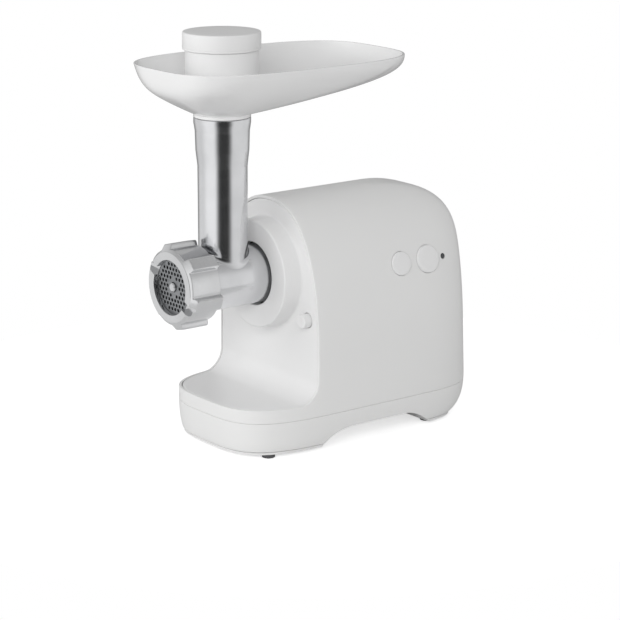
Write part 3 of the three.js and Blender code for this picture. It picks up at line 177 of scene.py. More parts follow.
def thicken(bm, wall, edge_at, behind):
    """Gives an open sheet a thickness and rounds its free edges; behind is a point on its hidden side.

    edge_at gives the rounding of the free edge at a point, in millimetres.
    """
    weld(bm)
    bm.normal_update()
    inside = Vector(behind)
    side = sum(f.normal.dot(f.calc_center_median() - inside) * f.calc_area() for f in bm.faces)
    if side < 0:
        bmesh.ops.reverse_faces(bm, faces=bm.faces)
        bm.normal_update()
    outer = list(bm.verts)
    normals = {v: v.normal.copy() for v in outer}
    faces = list(bm.faces)
    rim_edges = [e for e in bm.edges if e.is_boundary]
    rows = {}
    for v in dict.fromkeys(v for e in rim_edges for v in e.verts):
        ends = [e.other_vert(v).co for e in v.link_edges if e.is_boundary]
        away = (ends[0] - ends[1]).cross(normals[v]).normalized()
        inward = sum((f.calc_center_median() for f in v.link_faces), Vector()) / len(v.link_faces)
        if away.dot(inward - v.co) > 0:
            away = -away
        n = normals[v]
        radius = edge_at(v.co)
        points = []
        for a in (math.radians(degrees) for degrees in (22.5, 45, 67.5, 90)):
            points.append(v.co + away * radius * math.sin(a) - n * radius * (1 - math.cos(a)))
        points.append(v.co + away * radius - n * wall)
        rows[v] = [bm.verts.new(p) for p in points]
    back = {v: bm.verts.new(v.co - normals[v] * wall) for v in outer}
    for f in faces:
        bm.faces.new([back[v] for v in reversed(f.verts)])
    for e in rim_edges:
        loop = e.link_loops[0]
        a, b = loop.vert, loop.link_loop_next.vert
        first = [a, *rows[a], back[a]]
        second = [b, *rows[b], back[b]]
        for i in range(len(first) - 1):
            bm.faces.new((second[i], first[i], first[i + 1], second[i + 1]))
    return bm


ARC_STEP = math.radians(18)
POLE = 0.001  # the radius at which a turned form closes on its axis


def rounded(points):
    """A closed profile of (radius, along), with the corners rounded where a third number says so."""
    result = []
    count = len(points)
    for i, point in enumerate(points):
        here = Vector(point[:2])
        if len(point) < 3 or point[2] == 0:
            result.append(here)
            continue
        before = (Vector(points[i - 1][:2]) - here).normalized()
        after = (Vector(points[(i + 1) % count][:2]) - here).normalized()
        half = before.angle(after) / 2
        reach = point[2] / math.tan(half)
        centre = here + (before + after).normalized() * point[2] / math.sin(half)
        start = here + before * reach - centre
        end = here + after * reach - centre
        sweep = start.angle_signed(end)
        steps = max(3, round(abs(sweep) / ARC_STEP))
        for k in range(steps + 1):
            turn = -sweep * k / steps
            c, s = math.cos(turn), math.sin(turn)
            result.append(centre + Vector((start.x * c - start.y * s, start.x * s + start.y * c)))
    return result


def turns(steps):
    """The angles of a full turn in equal steps."""
    return [2 * math.pi * i / steps for i in range(steps)]


def circle_row(radius, z, steps):
    """A level ring of points round the feed tube's axis."""
    return [(radius * math.cos(t), radius * math.sin(t), z) for t in turns(steps)]


def turned(profile, axis="Y", at=(0, 0), steps=96):
    """A turned ring or disc. At is (x, z) for an axis along Y, or (x, y) for one along Z."""
    rows = []
    for radius, along in rounded(profile):
        row = []
        for t in turns(steps):
            u, v = at[0] + radius * math.cos(t), at[1] + radius * math.sin(t)
            row.append((u, along, v) if axis == "Y" else (u, v, along))
        rows.append(row)
    return grid([*rows, rows[0]])


def prism(outline, axis, low, high):
    """A closed solid from an outline of 2D points, between two places along an axis."""
    bm = bmesh.new()

    def place(p, along):
        if axis == "X":
            return (along, p[0], p[1])
        if axis == "Y":
            return (p[0], along, p[1])
        return (p[0], p[1], along)

    ends = [[bm.verts.new(place(p, along)) for p in outline] for along in (low, high)]
    count = len(outline)
    for i in range(count):
        j = (i + 1) % count
        bm.faces.new((ends[0][i], ends[0][j], ends[1][j], ends[1][i]))
    bm.faces.new(ends[0])
    bm.faces.new(list(reversed(ends[1])))
    return bm


def rod(at, radius, low, high, axis="Y", steps=64):
    """A closed cylinder; at is given as for turned."""
    outline = [(at[0] + radius * math.cos(t), at[1] + radius * math.sin(t)) for t in turns(steps)]
    return prism(outline, axis, low, high)


def carve(obj, cutters, operation="DIFFERENCE"):
    """Cuts each cutter's bmesh out of obj, or keeps only what they share."""
    tools = [new_object(f"{obj.name}_cut{i}", bm) for i, bm in enumerate(cutters)]
    return combine(obj, tools, operation)


def combine(obj, tools, operation):
    """Applies a boolean with each of the tool objects to obj, and removes them."""
    for tool in tools:
        modifier = obj.modifiers.new("combine", "BOOLEAN")
        modifier.operation = operation
        modifier.solver = "EXACT"
        modifier.object = tool
    settle(obj)
    for tool in tools:
        bpy.data.meshes.remove(tool.data)
    return obj


def settle(obj):
    """Applies all of obj's modifiers."""
    graph = bpy.context.evaluated_depsgraph_get()
    mesh = bpy.data.meshes.new_from_object(obj.evaluated_get(graph))
    obj.modifiers.clear()
    old = obj.data
    obj.data = mesh
    bpy.data.meshes.remove(old)
    return obj


def finish_piece(obj, material, body, slot, *nodes, degrees=32):
    """Shades a piece, gives it its material, and lets it ride in place of its CAD nodes."""
    obj.data.polygons.foreach_set("use_smooth", [True] * len(obj.data.polygons))
    obj.data.set_sharp_from_angle(angle=math.radians(degrees))
    obj.data.materials.clear()
    obj.data.materials.append(material)
    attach(obj, body)
    if nodes:
        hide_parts(*nodes)
    return obj


def power(value, exponent):
    """A power that keeps the value's sign."""
    return math.copysign(abs(value) ** exponent, value)


# ---------- materials ----------

NOISE_LOW, NOISE_HIGH = 0.3, 0.7
METAL_SHADE = 0.12  # how much darker a metal's darkest patches are
ALONG_Y, ALONG_Z = 1, 2
AXIS_M = (0, 0, AXIS_Z * MM)  # a point on the barrel's axis, in metres from the object's origin
FEED_M = (0, FEED_Y, 0)  # and one on the feed tube's


def blank(name):
    material = bpy.data.materials.new(name)
    material.use_nodes = True
    tree = material.node_tree
    tree.nodes.clear()
    output = tree.nodes.new("ShaderNodeOutputMaterial")
    shader = tree.nodes.new("ShaderNodeBsdfPrincipled")
    tree.links.new(shader.outputs["BSDF"], output.inputs["Surface"])
    return material, tree, shader


def noise(tree, vector, scale, detail):
    node = tree.nodes.new("ShaderNodeTexNoise")
    node.inputs["Scale"].default_value = scale
    node.inputs["Detail"].default_value = detail
    tree.links.new(vector, node.inputs["Vector"])
    return node.outputs["Fac"]


def spread(tree, value, low, high):
    """Carries a noise's usual range to the range from low to high."""
    node = tree.nodes.new("ShaderNodeMapRange")
    node.inputs["From Min"].default_value = NOISE_LOW
    node.inputs["From Max"].default_value = NOISE_HIGH
    node.inputs["To Min"].default_value = low
    node.inputs["To Max"].default_value = high
    tree.links.new(value, node.inputs["Value"])
    return node.outputs["Result"]


def two_tone(tree, value, first, second):
    node = tree.nodes.new("ShaderNodeMix")
    node.data_type = "RGBA"
    tree.links.new(value, node.inputs["Factor"])
    node.inputs["A"].default_value = (*first, 1)
    node.inputs["B"].default_value = (*second, 1)
    return node.outputs["Result"]


def bump(tree, shader, heights):
    """Stacks bumps: each height is (value, strength, distance in metres)."""
    last = None
    for value, strength, distance in heights:
        node = tree.nodes.new("ShaderNodeBump")
        node.inputs["Strength"].default_value = strength
        node.inputs["Distance"].default_value = distance
        tree.links.new(value, node.inputs["Height"])
        if last:
            tree.links.new(last, node.inputs["Normal"])
        last = node.outputs["Normal"]
    tree.links.new(last, shader.inputs["Normal"])


def object_place(tree):
    return tree.nodes.new("ShaderNodeTexCoord").outputs["Object"]


def plastic(name, colour, roughness, tint=0.015, grain=1800, depth=0.00002, coat=0.0):
    """Moulded plastic: a faint unevenness of tone and gloss over a fine mould texture."""
    material, tree, shader = blank(name)
    place = object_place(tree)
    drift = noise(tree, place, 9, 2)
    tone = spread(tree, drift, 0, 1)
    darker = [c * (1 - tint) for c in colour]
    tree.links.new(two_tone(tree, tone, colour, darker), shader.inputs["Base Color"])
    gloss = spread(tree, noise(tree, place, 60, 5), roughness * 0.92, roughness * 1.1)
    tree.links.new(gloss, shader.inputs["Roughness"])
    shader.inputs["Coat Weight"].default_value = coat
    shader.inputs["Coat Roughness"].default_value = 0.08
    bump(tree, shader, [(noise(tree, place, grain, 2), 0.25, depth), (drift, 0.12, 0.0004)])
    return material


def vector_math(tree, operation, value, constant=None):
    node = tree.nodes.new("ShaderNodeVectorMath")
    node.operation = operation
    tree.links.new(value, node.inputs[0])
    if constant is not None:
        node.inputs[1].default_value = constant
    return node.outputs["Value" if operation in ("DOT_PRODUCT", "LENGTH") else "Vector"]


def ring_place(tree, centre, along):
    """Distance from an axis and the place along it, as a vector for turned marks."""
    place = object_place(tree)
    shift = vector_math(tree, "SUBTRACT", place, centre)
    flat = vector_math(tree, "MULTIPLY", shift, [0 if i == along else 1 for i in range(3)])
    split = tree.nodes.new("ShaderNodeSeparateXYZ")
    tree.links.new(shift, split.inputs["Vector"])
    joined = tree.nodes.new("ShaderNodeCombineXYZ")
    tree.links.new(vector_math(tree, "LENGTH", flat), joined.inputs["X"])
    tree.links.new(split.outputs[along], joined.inputs["Y"])
    return place, joined.outputs["Vector"]


def metal(name, colour, roughness, centre=AXIS_M, along=ALONG_Y, marks=2600):
    """Machined or cast metal: turned marks round an axis, uneven polish and a little cast texture."""
    material, tree, shader = blank(name)
    place, rings = ring_place(tree, centre, along)
    drift = noise(tree, place, 32, 4)
    darker = [c * (1 - METAL_SHADE) for c in colour]
    tone = spread(tree, drift, 0, 1)
    tree.links.new(two_tone(tree, tone, colour, darker), shader.inputs["Base Color"])
    shader.inputs["Metallic"].default_value = 1
    lines = noise(tree, rings, marks, 3)
    blur = tree.nodes.new("ShaderNodeMath")
    blur.operation = "ADD"
    tree.links.new(spread(tree, lines, -0.05, 0.05), blur.inputs[0])
    tree.links.new(spread(tree, drift, roughness * 0.8, roughness * 1.25), blur.inputs[1])
    tree.links.new(blur.outputs["Value"], shader.inputs["Roughness"])
    cast = noise(tree, place, 700, 5)
    bump(tree, shader, [(lines, 0.18, 0.00004), (cast, 0.3, 0.00006), (drift, 0.2, 0.0003)])
    return material


white = plastic("white_plastic", (0.83, 0.83, 0.825), 0.34)
fascia_white = plastic("fascia_plastic", (0.85, 0.85, 0.85), 0.33)
button_white = plastic("button_plastic", (0.85, 0.85, 0.85), 0.33)
tray_white = plastic(
    "tray_plastic", (0.88, 0.88, 0.88), 0.12, grain=900, depth=0.00001, coat=0.4
)
pusher_white = plastic("pusher_plastic", (0.85, 0.85, 0.85), 0.38)
barrel_metal = metal("barrel_aluminium", (0.78, 0.785, 0.8), 0.17)
nut_metal = metal("nut_aluminium", (0.8, 0.805, 0.815), 0.17)
tube_metal = metal("tube_aluminium", (0.8, 0.805, 0.82), 0.17, FEED_M, ALONG_Z)
plate_metal = metal("plate_steel", (0.36, 0.37, 0.38), 0.44, marks=3600)
steel = metal("machined_steel", (0.5, 0.51, 0.53), 0.44)
# near-black steel: painted shade, so the socket seen through the boss's opening reads as the dark gap
# round the barrel
socket_shade_steel = metal("steel_painted_dark_for_shade", (0.03, 0.03, 0.032), 0.44)
bronze = metal("bearing_bronze", (0.62, 0.45, 0.2), 0.4)
copper = metal("winding_copper", (0.55, 0.25, 0.1), 0.35)
rubber = plastic("foot_rubber", (0.1, 0.1, 0.105), 0.7, tint=0.2, grain=2400, depth=0.00006)
black = plastic("black_plastic", (0.025, 0.026, 0.028), 0.45, tint=0.2)
nylon = plastic("natural_nylon", (0.74, 0.72, 0.64), 0.42, tint=0.05)
board_green = plastic("circuit_board", (0.015, 0.12, 0.05), 0.4, tint=0.25, grain=900)
lens_dark = plastic("smoked_lens", (0.06, 0.065, 0.07), 0.12, tint=0.2)
film_yellow = plastic("film_case", (0.55, 0.37, 0.03), 0.4, tint=0.1)

by_slot = {
    "white": white,
    "tray_white": tray_white,
    "cast_aluminium": barrel_metal,
    "steel": steel,
    "brass": bronze,
    "winding": copper,
    "rubber": rubber,
    "black": black,
    "nylon": nylon,
    "board": board_green,
    "lens": lens_dark,
    "film": film_yellow,
}
slot_of = {part["node"]: part["material_slot"] for part in frame["record"]["subparts"]}
for node, obj in frame["nodes"].items():
    # the socket gets the near-black steel, which is painted shade for the gap inside the boss
    material = socket_shade_steel if node == "head_socket" else by_slot[slot_of[node]]
    obj.data.materials.clear()
    obj.data.materials.append(material)


# ---------- the body's outer form ----------


def rear_at(z):
    """How far back the body reaches at a height."""
    straight = REAR_Y - REAR_LEAN * max(0, z - TUCK_FROM_Z)
    share = min(1, max(0, (z - CROWN_DROP_Z) / (CROWN_Z - CROWN_DROP_Z)))
    kept = (1 - share**CROWN_POWER) ** (1 / CROWN_POWER)
    return CROWN_END_Y + (straight - CROWN_END_Y) * kept


def tuck_at(z):
    """How far along its curve under the base the wall has come: 0 above, 1 at the very bottom."""
    depth = min(1, max(0, (TUCK_FROM_Z - z) / (TUCK_FROM_Z - floor_low.z)))
    return 1 - (1 - depth**TUCK_POWER) ** (1 / TUCK_POWER)


def width_at(z):
    """Half of the body's width at a height."""
    if z <= SHOULDER_Z:
        return HALF_WIDTH - SIDE_TUCK * tuck_at(z)
    share = min(1, (z - SHOULDER_Z) / (CROWN_Z - SHOULDER_Z))
    return HALF_WIDTH * (1 - share**ARCH_POWER) ** (1 / ARCH_POWER)


def front_share(y, z):
    """How much of its width the plan keeps at y, in front of where it starts to round."""
    length = FRONT_ROUND - SIDE_TUCK * tuck_at(z)
    ahead = max(0, FRONT_CENTRE_Y - y) / length
    return max(0, 1 - ahead**FRONT_POWER) ** (1 / FRONT_POWER)


STRAIGHT_STEPS = 26
CORNER_STEPS = 22
FRONT_STEPS = 16


def back_half(z, start_y, inset=0.0):
    """The plan from the opening's edge on the left, round the back, to its edge on the right."""
    width = max(0, width_at(z) - inset)
    tuck = tuck_at(z)
    rear = rear_at(z) - REAR_TUCK * tuck - inset
    corner = (REAR_ROUND - REAR_TUCK * tuck - inset) * max(width, 1e-3) / HALF_WIDTH
    half = []
    for i in range(STRAIGHT_STEPS):
        y = start_y + (rear - corner - start_y) * i / STRAIGHT_STEPS
        half.append((width * front_share(y, z), y))
    for i in range(CORNER_STEPS + 1):
        t = math.pi / 2 * i / CORNER_STEPS
        x = width * power(math.cos(t), 2 / REAR_POWER)
        half.append((x, rear - corner + corner * power(math.sin(t), 2 / REAR_POWER)))
    left = [(-x, y, z) for x, y in half]
    return left + [(x, y, z) for x, y in reversed(half[:-1])]


def front_half(z, start_y, inset=0.0):
    """The rest of the plan, from the right edge round the front to the left edge, without its ends."""
    width = width_at(z) - inset
    length = FRONT_ROUND - SIDE_TUCK * tuck_at(z) - inset
    first = math.asin(((FRONT_CENTRE_Y - start_y) / length) ** (FRONT_POWER / 2))
    points = []
    for i in range(1, 2 * FRONT_STEPS):
        t = first + (math.pi - 2 * first) * i / (2 * FRONT_STEPS)
        x = width * power(math.cos(t), 2 / FRONT_POWER)
        points.append((x, FRONT_CENTRE_Y - length * power(math.sin(t), 2 / FRONT_POWER), z))
    return points


def low_ring(z, inset=0.0):
    """The whole plan at a height, as one ring."""
    return back_half(z, FILLET_Y, inset) + front_half(z, FILLET_Y, inset)


def arch_heights(steps):
    """Heights up the arch of the front view, closer together where it bends more."""
    turns = [math.pi / 2 * i / steps for i in range(steps + 1)]
    rise = CROWN_Z - SHOULDER_Z
    return [SHOULDER_Z + rise * math.sin(t) ** (2 / ARCH_POWER) for t in turns]


def on_side(bm, y, face_x=SIDE_FACE_X):
    """Moves a form made about Z at the origin to the side, facing out the way the buttons do."""
    outward = Vector((1, 0, SIDE_TILT)).normalized()
    turn = outward.to_track_quat("Z", "Y").to_matrix().to_4x4()
    place = Matrix.Translation((face_x, y, SIDE_FACE_Z)) @ turn
    bmesh.ops.transform(bm, matrix=place, verts=bm.verts)
    return bm


def side_hole(y, radius, depth=12):
    """A cutter through the side for something of this radius."""
    return on_side(rod((0, 0), radius + SEAM, -depth, depth, "Z", 72), y)


VENT_COUNT = 7
VENT_PITCH = 9
VENT_WIDTH = 4.5
VENT_LOW_Z = 92
VENT_HIGH_Z = 124


def vent_outline(x, steps=8):
    """An upright slot with round ends."""
    half = VENT_WIDTH / 2
    points = []
    for start, z in ((0, VENT_HIGH_Z - half), (math.pi, VENT_LOW_Z + half)):
        for i in range(steps + 1):
            t = start + math.pi * i / steps
            points.append((x + half * math.cos(t), z + half * math.sin(t)))
    return points


BAND_ROWS, FILLET_ROWS, CROWN_ROWS = 4, 12, 40


def main_housing():
    """The sides, crown and back as one sheet, open in front, on a closed band round the deck."""
    bm = bmesh.new()
    lowest = HOUSING_FOOT_Z + LOW_EDGE
    band = DECK_Z - EDGE - lowest
    grid([low_ring(lowest + band * i / BAND_ROWS) for i in range(BAND_ROWS + 1)], True, bm)
    open_rows = []
    for i in range(FILLET_ROWS + 1):
        t = math.pi / 2 * i / FILLET_ROWS
        z = FILLET_Z - (FILLET + EDGE) * math.cos(t)
        open_rows.append(back_half(z, FILLET_Y + (FILLET + EDGE) * math.sin(t)))
    for z in (68, 72, 76, 80, *arch_heights(CROWN_ROWS)):
        open_rows.append(back_half(z, PANEL_Y + EDGE))
    grid(open_rows, False, bm)
    inside = (0, 140, 100)
    thicken(bm, WALL, lambda p: LOW_EDGE if p.z < lowest + 1 else EDGE, inside)
    obj = new_object("housing_shell", bm)
    holes = [side_hole(POWER_Y, POWER_RADIUS), side_hole(REVERSE_Y, REVERSE_RADIUS)]
    holes.append(side_hole(LENS_Y, LENS_RADIUS))
    through = (REAR_Y - 20, REAR_Y + 10)
    holes.append(rod(GLAND_AT, GLAND_HOLE, *through))
    for i in range(VENT_COUNT):
        x = (i - (VENT_COUNT - 1) / 2) * VENT_PITCH
        holes.append(prism(vent_outline(x), "Y", *through))
    carve(obj, holes)
    finish_piece(obj, white, "body", "white", "main_housing")


PANEL_ROWS, DECK_ROWS, PANEL_COLUMNS = 44, 28, 24
BOSS = {"front_y": 31.2, "radius": 48, "root": 49.3, "hole": 28.4, "back_y": 41.5, "flange": 3.4}
BOSS_SUNK = 0.02  # how far the flange is sunk into the panel


def front_fascia():
    """The panel, the curve and the deck as one sheet, with the boss raised from it."""
    inset = WALL + SEAM + EDGE
    half_width = HALF_WIDTH - inset
    columns = [1 - 2 * i / PANEL_COLUMNS for i in range(PANEL_COLUMNS + 1)]
    rows = []

    def row(width, y, z):
        rows.append([(width * column, y, z) for column in columns])

    rise = CROWN_Z - inset - SHOULDER_Z
    for i in range(PANEL_ROWS + 1):
        t = math.pi / 2 * (1 - i / PANEL_ROWS)
        z = SHOULDER_Z + rise * math.sin(t) ** (2 / ARCH_POWER)
        width = half_width * max(0, math.cos(t)) ** (2 / ARCH_POWER)
        row(width * front_share(PANEL_Y, z), PANEL_Y, z)
    for z in (78, 72, 68):
        row(half_width * front_share(PANEL_Y, z), PANEL_Y, z)
    for i in range(FILLET_ROWS + 1):
        t = math.pi / 2 * (1 - i / FILLET_ROWS)
        y = FILLET_Y + FILLET * math.sin(t)
        row(half_width * front_share(y, DECK_Z), y, FILLET_Z - FILLET * math.cos(t))
    length = FRONT_ROUND - inset
    first = math.asin(((FRONT_CENTRE_Y - FILLET_Y) / length) ** (FRONT_POWER / 2))
    for i in range(1, DECK_ROWS + 1):
        t = first + (math.pi / 2 - first) * i / DECK_ROWS
        y = FRONT_CENTRE_Y - length * math.sin(t) ** (2 / FRONT_POWER)
        row(half_width * max(0, math.cos(t)) ** (2 / FRONT_POWER), y, DECK_Z)
    under = (0, 200, 0)
    obj = new_object("fascia_panel", thicken(grid(rows, False), WALL, lambda p: EDGE, under))
    front, root, hole, radius = (BOSS[key] for key in ("front_y", "root", "hole", "radius"))
    through = (PANEL_Y - 6, PANEL_Y + 8)
    under_boss = rod((0, AXIS_Z), root - 1.6, *through, steps=120)
    carve(obj, [under_boss, rod(LOCK_AT, LOCK_HOLE, *through)])
    finish_piece(obj, fascia_white, "body", "white", "front_fascia")
    boss = turned(
        [
            (hole, BOSS["back_y"]),
            (hole, front, 0.9),
            (radius, front, 1.6),
            (root, PANEL_Y - BOSS_SUNK, 2.4),
            (root + BOSS["flange"], PANEL_Y - BOSS_SUNK),
            (root + BOSS["flange"], PANEL_Y + 1),
            (root - WALL, PANEL_Y + 1),
            (radius - WALL, front + WALL, 1),
            (hole + WALL, front + WALL, 1),
            (hole + WALL, BOSS["back_y"]),
        ],
        at=(0, AXIS_Z),
        steps=160,
    )
    finish_piece(new_object("fascia_boss", boss), fascia_white, "body", "white")


def curve(a, b, c, steps=14):
    """Points along a quadratic curve from a to c, pulled towards b."""
    points = []
    for s in (i / steps for i in range(steps + 1)):
        u, v, w = (1 - s) ** 2, 2 * s * (1 - s), s * s
        points.append(tuple(u * p + v * q + w * r for p, q, r in zip(a, b, c)))
    return points


ARCH = {"start_y": 56, "front_top_y": 88, "rear_top_y": 150, "end_y": 179, "top_z": 17.6}
BELOW_ALL_Z = -20


def arch_cutter(lift):
    """The low arch under the base, across the whole body; lift makes it larger all round."""
    start, end = ARCH["start_y"] - lift, ARCH["end_y"] + lift
    top, foot = ARCH["top_z"] + lift, floor_low.z
    pull = (ARCH["start_y"] + 7 - lift, top - 2)
    front = curve((start, foot + lift), pull, (ARCH["front_top_y"], top))
    pull = (ARCH["rear_top_y"] + 14 + lift, top - 1)
    back = curve((ARCH["rear_top_y"], top), pull, (end, foot))
    return prism([(start, BELOW_ALL_Z), *front, *back, (end, BELOW_ALL_Z)], "X", -100, 100)


BASE_ROWS = 14


def base_case():
    """The band under the parting line, tucked in below and cut through by the arch."""
    edge = LOW_EDGE
    low, high = case_low.z + edge, BASE_TOP_Z - edge
    depths = [math.sin(math.pi / 2 * i / BASE_ROWS) for i in range(BASE_ROWS + 1)]
    bm = grid([low_ring(low + (high - low) * (1 - d)) for d in depths])
    inside = (0, 110, 40)
    obj = new_object("base_shell", thicken(bm, WALL, lambda p: edge, inside))
    carve(obj, [arch_cutter(0)])
    finish_piece(obj, white, "body", "white", "base_case")


FLOOR_THICK = 2.4
FLOOR_LIP = ((0, 1.2), (0.3, 0.8), (FLOOR_THICK - 0.35, 0.6), (FLOOR_THICK, 1.0))  # heights and insets
SCREW_HOLE = 2.1


def fill_ends(bm):
    bmesh.ops.holes_fill(bm, edges=[e for e in bm.edges if e.is_boundary], sides=0)
    return bm


def bottom_plate():
    """The floor, with the arch's roof standing on it and holes for the case screws."""
    low, high = floor_low.z, floor_low.z + FLOOR_THICK
    rows = []
    for rise, inset in FLOOR_LIP:
        rows.append([(x, y, low + rise) for x, y, _ in low_ring(case_low.z, inset)])
    floor = new_object("underside_floor", fill_ends(grid(rows)))
    dish = [low_ring(z, WALL + 0.6) for z in (high - 1, high + 2, 12, 24)]
    roof = new_object("roof_tool", fill_ends(grid(dish)))
    carve(roof, [arch_cutter(WALL)], "INTERSECT")
    combine(floor, [roof], "UNION")
    cutters = [arch_cutter(0)]
    for i in range(1, 5):
        at = centre_xy(*span(f"case_screw_{i}"))
        cutters.append(rod(at, SCREW_HOLE, -5, 40, "Z", 32))
    carve(floor, cutters)
    finish_piece(floor, white, "body", "white", "bottom_plate")


def feet():
    """Four soft pads, each on a thin stem through the floor."""
    stem, pad_top = 3, 2.9
    for corner in ("front_left", "front_right", "rear_left", "rear_right"):
        name = f"foot_{corner}"
        low, high = span(name)
        radius = (high.x - low.x) / 2
        profile = [
            (POLE, low.z),
            (radius * 0.55, low.z),
            (radius * 0.6, low.z + 0.25),
            (radius, low.z, 0.8),
            (radius * 0.96, pad_top),
            (stem, pad_top),
            (stem, high.z),
            (POLE, high.z),
        ]
        pad = turned(profile, "Z", centre_xy(low, high), 48)
        finish_piece(new_object(f"{name}_pad", pad), rubber, "body", "rubber", name)


# ---------- controls ----------


def side_button(name, body, node, y, radius):
    """A round button proud of the side, with a flange and a stem behind it."""
    proud, stem, flange = 1.8, 2.5, radius + 1.6
    profile = [
        (POLE, -10.6),
        (stem, -10.6),
        (stem, -6),
        (flange, -6),
        (flange, -4.6),
        (radius, -4.6),
        (radius, proud - 0.25, 1.3),
        (radius * 0.55, proud - 0.05),
        (POLE, proud - 0.05),
    ]
    obj = new_object(name, on_side(turned(profile, "Z"), y))
    finish_piece(obj, button_white, body, "white", node)


def indicator():
    """The small dark lens, slightly domed and a little below the side's surface."""
    radius, sunk = LENS_RADIUS, 1.25
    profile = [(POLE, -9), (radius, -9), (radius, 0.2, 0.5), (radius * 0.5, 0.35), (POLE, 0.4)]
    lens = on_side(turned(profile, "Z", steps=48), LENS_Y, SIDE_FACE_X - sunk)
    finish_piece(new_object("indicator_window", lens), lens_dark, "body", "lens", "indicator_lens")


def lock_button():
    """The release button beside the boss, slightly dished in front, with a flange inside."""
    front, back = lock_low.y, lock_high.y
    radius, stem, flange = LOCK_RADIUS, 3, LOCK_RADIUS + 2.2
    profile = [
        (POLE, front + 0.5),
        (radius * 0.6, front + 0.35),
        (radius, front, 1.2),
        (radius, back - 5),
        (flange, back - 5),
        (flange, back - 3),
        (stem, back - 3),
        (stem, back),
        (POLE, back),
    ]
    cap = turned(profile, at=LOCK_AT, steps=72)
    finish_piece(new_object("lock_cap", cap), button_white, "lock", "white", "lock_button")


def cord_gland():
    """The bush where the cord would leave, with a flange behind the wall."""
    low, high = gland_low.y, gland_high.y
    flange = (gland_high.x - gland_low.x) / 2
    profile = [
        (GLAND_BORE, low),
        (flange, low, 0.4),
        (flange, low + 2.4, 0.4),
        (flange - 2, low + 2.4),
        (flange - 2, high, 0.8),
        (GLAND_BORE, high, 0.6),
    ]
    bush = turned(profile, at=GLAND_AT, steps=48)
    finish_piece(new_object("gland_bush", bush), rubber, "body", "rubber", "cord_gland")


# ---------- grinding head ----------

BARREL = 26.2
BORE = 21.2
CAST_BORE = 22  # where the tube's foot meets the bore
THREAD = 30.4
THREAD_ROOT = THREAD - 1.2
THREAD_PITCH = 3
PLATE_SEAT = (27.3, -47.4)  # each a radius and the y of its step
KNIFE_SEAT = (24.6, -40.4)
SPIGOT = (27, 40.4)
SHAFT_HOLE = (12.3, 45)
TUBE = 21.6
TUBE_WIDE = 24.9
THROAT = 19.2  # the tube's bore, and that of its wide end
MOUTH = 22.6
FLARE = 3.3
FOOT_ACROSS = 24.6
FLARE_ROWS = 12
HEAD_STEPS = 144


def barrel():
    """The turned barrel: a threaded nose, seats for plate and knife, and a spigot for the socket."""
    front, back = head_low.y, head_high.y
    profile = [(PLATE_SEAT[0], front)]
    y = front
    while y < -31:
        profile += [(THREAD, y + 0.5, 0.3), (THREAD, y + 1.3, 0.3)]
        profile += [(THREAD_ROOT, y + 1.9), (THREAD_ROOT, y + 2.5)]
        y += THREAD_PITCH
    profile += [
        (THREAD - 0.4, -28.5, 0.5),
        (BARREL, -25.5, 1.5),
        (BARREL, SPIGOT[1] - 0.8),
        SPIGOT,
        (SPIGOT[0], back, 0.6),
        (SHAFT_HOLE[0], back),
        SHAFT_HOLE,
        (BORE, SHAFT_HOLE[1]),
        (BORE, KNIFE_SEAT[1]),
        KNIFE_SEAT,
        (KNIFE_SEAT[0], PLATE_SEAT[1]),
        PLATE_SEAT,
    ]
    obj = new_object("barrel_casting", turned(profile, at=(0, AXIS_Z), steps=HEAD_STEPS))
    carve(obj, [rod((0, 0), THROAT, AXIS_Z, AXIS_Z + 40, "Z", HEAD_STEPS)])
    finish_piece(obj, barrel_metal, "head", "cast_aluminium", "head_housing")


def feed_tube():
    """The upright tube, flared into the barrel along the line where they meet."""
    rows = []

    def row(radius_at, height_at):
        points = []
        for t in turns(HEAD_STEPS):
            r = radius_at(t)
            points.append((r * math.cos(t), r * math.sin(t), height_at(t)))
        rows.append(points)

    def on_cylinder(cylinder, radius_at, lift=0.0):
        """The height at which an upright line meets a cylinder round the barrel's axis."""

        def height_at(t):
            across = radius_at(t) * math.cos(t)
            return AXIS_Z + lift + math.sqrt(cylinder**2 - across**2)

        return height_at

    def foot_radius(t):
        return math.hypot(FOOT_ACROSS * math.cos(t), (TUBE + FLARE) * math.sin(t))

    start = on_cylinder(BARREL, lambda t: TUBE, FLARE)
    corner = on_cylinder(BARREL, lambda t: TUBE)
    end = on_cylinder(BARREL, foot_radius, -0.06)
    for s in (k / FLARE_ROWS for k in range(FLARE_ROWS, -1, -1)):
        row(
            lambda t: (1 - s**2) * TUBE + s**2 * foot_radius(t),
            lambda t: (1 - s) ** 2 * start(t) + 2 * s * (1 - s) * corner(t) + s * s * end(t),
        )
    up_and_down_inside = [
        (TUBE, 215, 0),
        (TUBE + 0.1, 251, 12),
        (TUBE + 1.7, 265, 12),
        (TUBE_WIDE - 1.1, 282, 10),
        (TUBE_WIDE, 289, 5),
        (TUBE_WIDE, feed_high.z, 0.6),
        (MOUTH, feed_high.z, 0.4),
        (MOUTH, 265.5),
        (THROAT, 258),
        (THROAT, 180),
    ]
    for p in rounded(up_and_down_inside):
        row(lambda t: p.x, lambda t: p.y)
    row(lambda t: THROAT, on_cylinder(CAST_BORE, lambda t: THROAT))
    bm = grid(rows)
    bmesh.ops.bridge_loops(bm, edges=[e for e in bm.edges if e.is_boundary])
    obj = new_object("tube_casting", bm)
    finish_piece(obj, tube_metal, "head", "cast_aluminium", "feed_tube")


PLATE = {"bevel": 0.15, "centre_hole": 4.5, "hole": 1.5, "pitch": 4.5, "field": (8, 22.2)}
PLATE_ROWS = range(-6, 7)


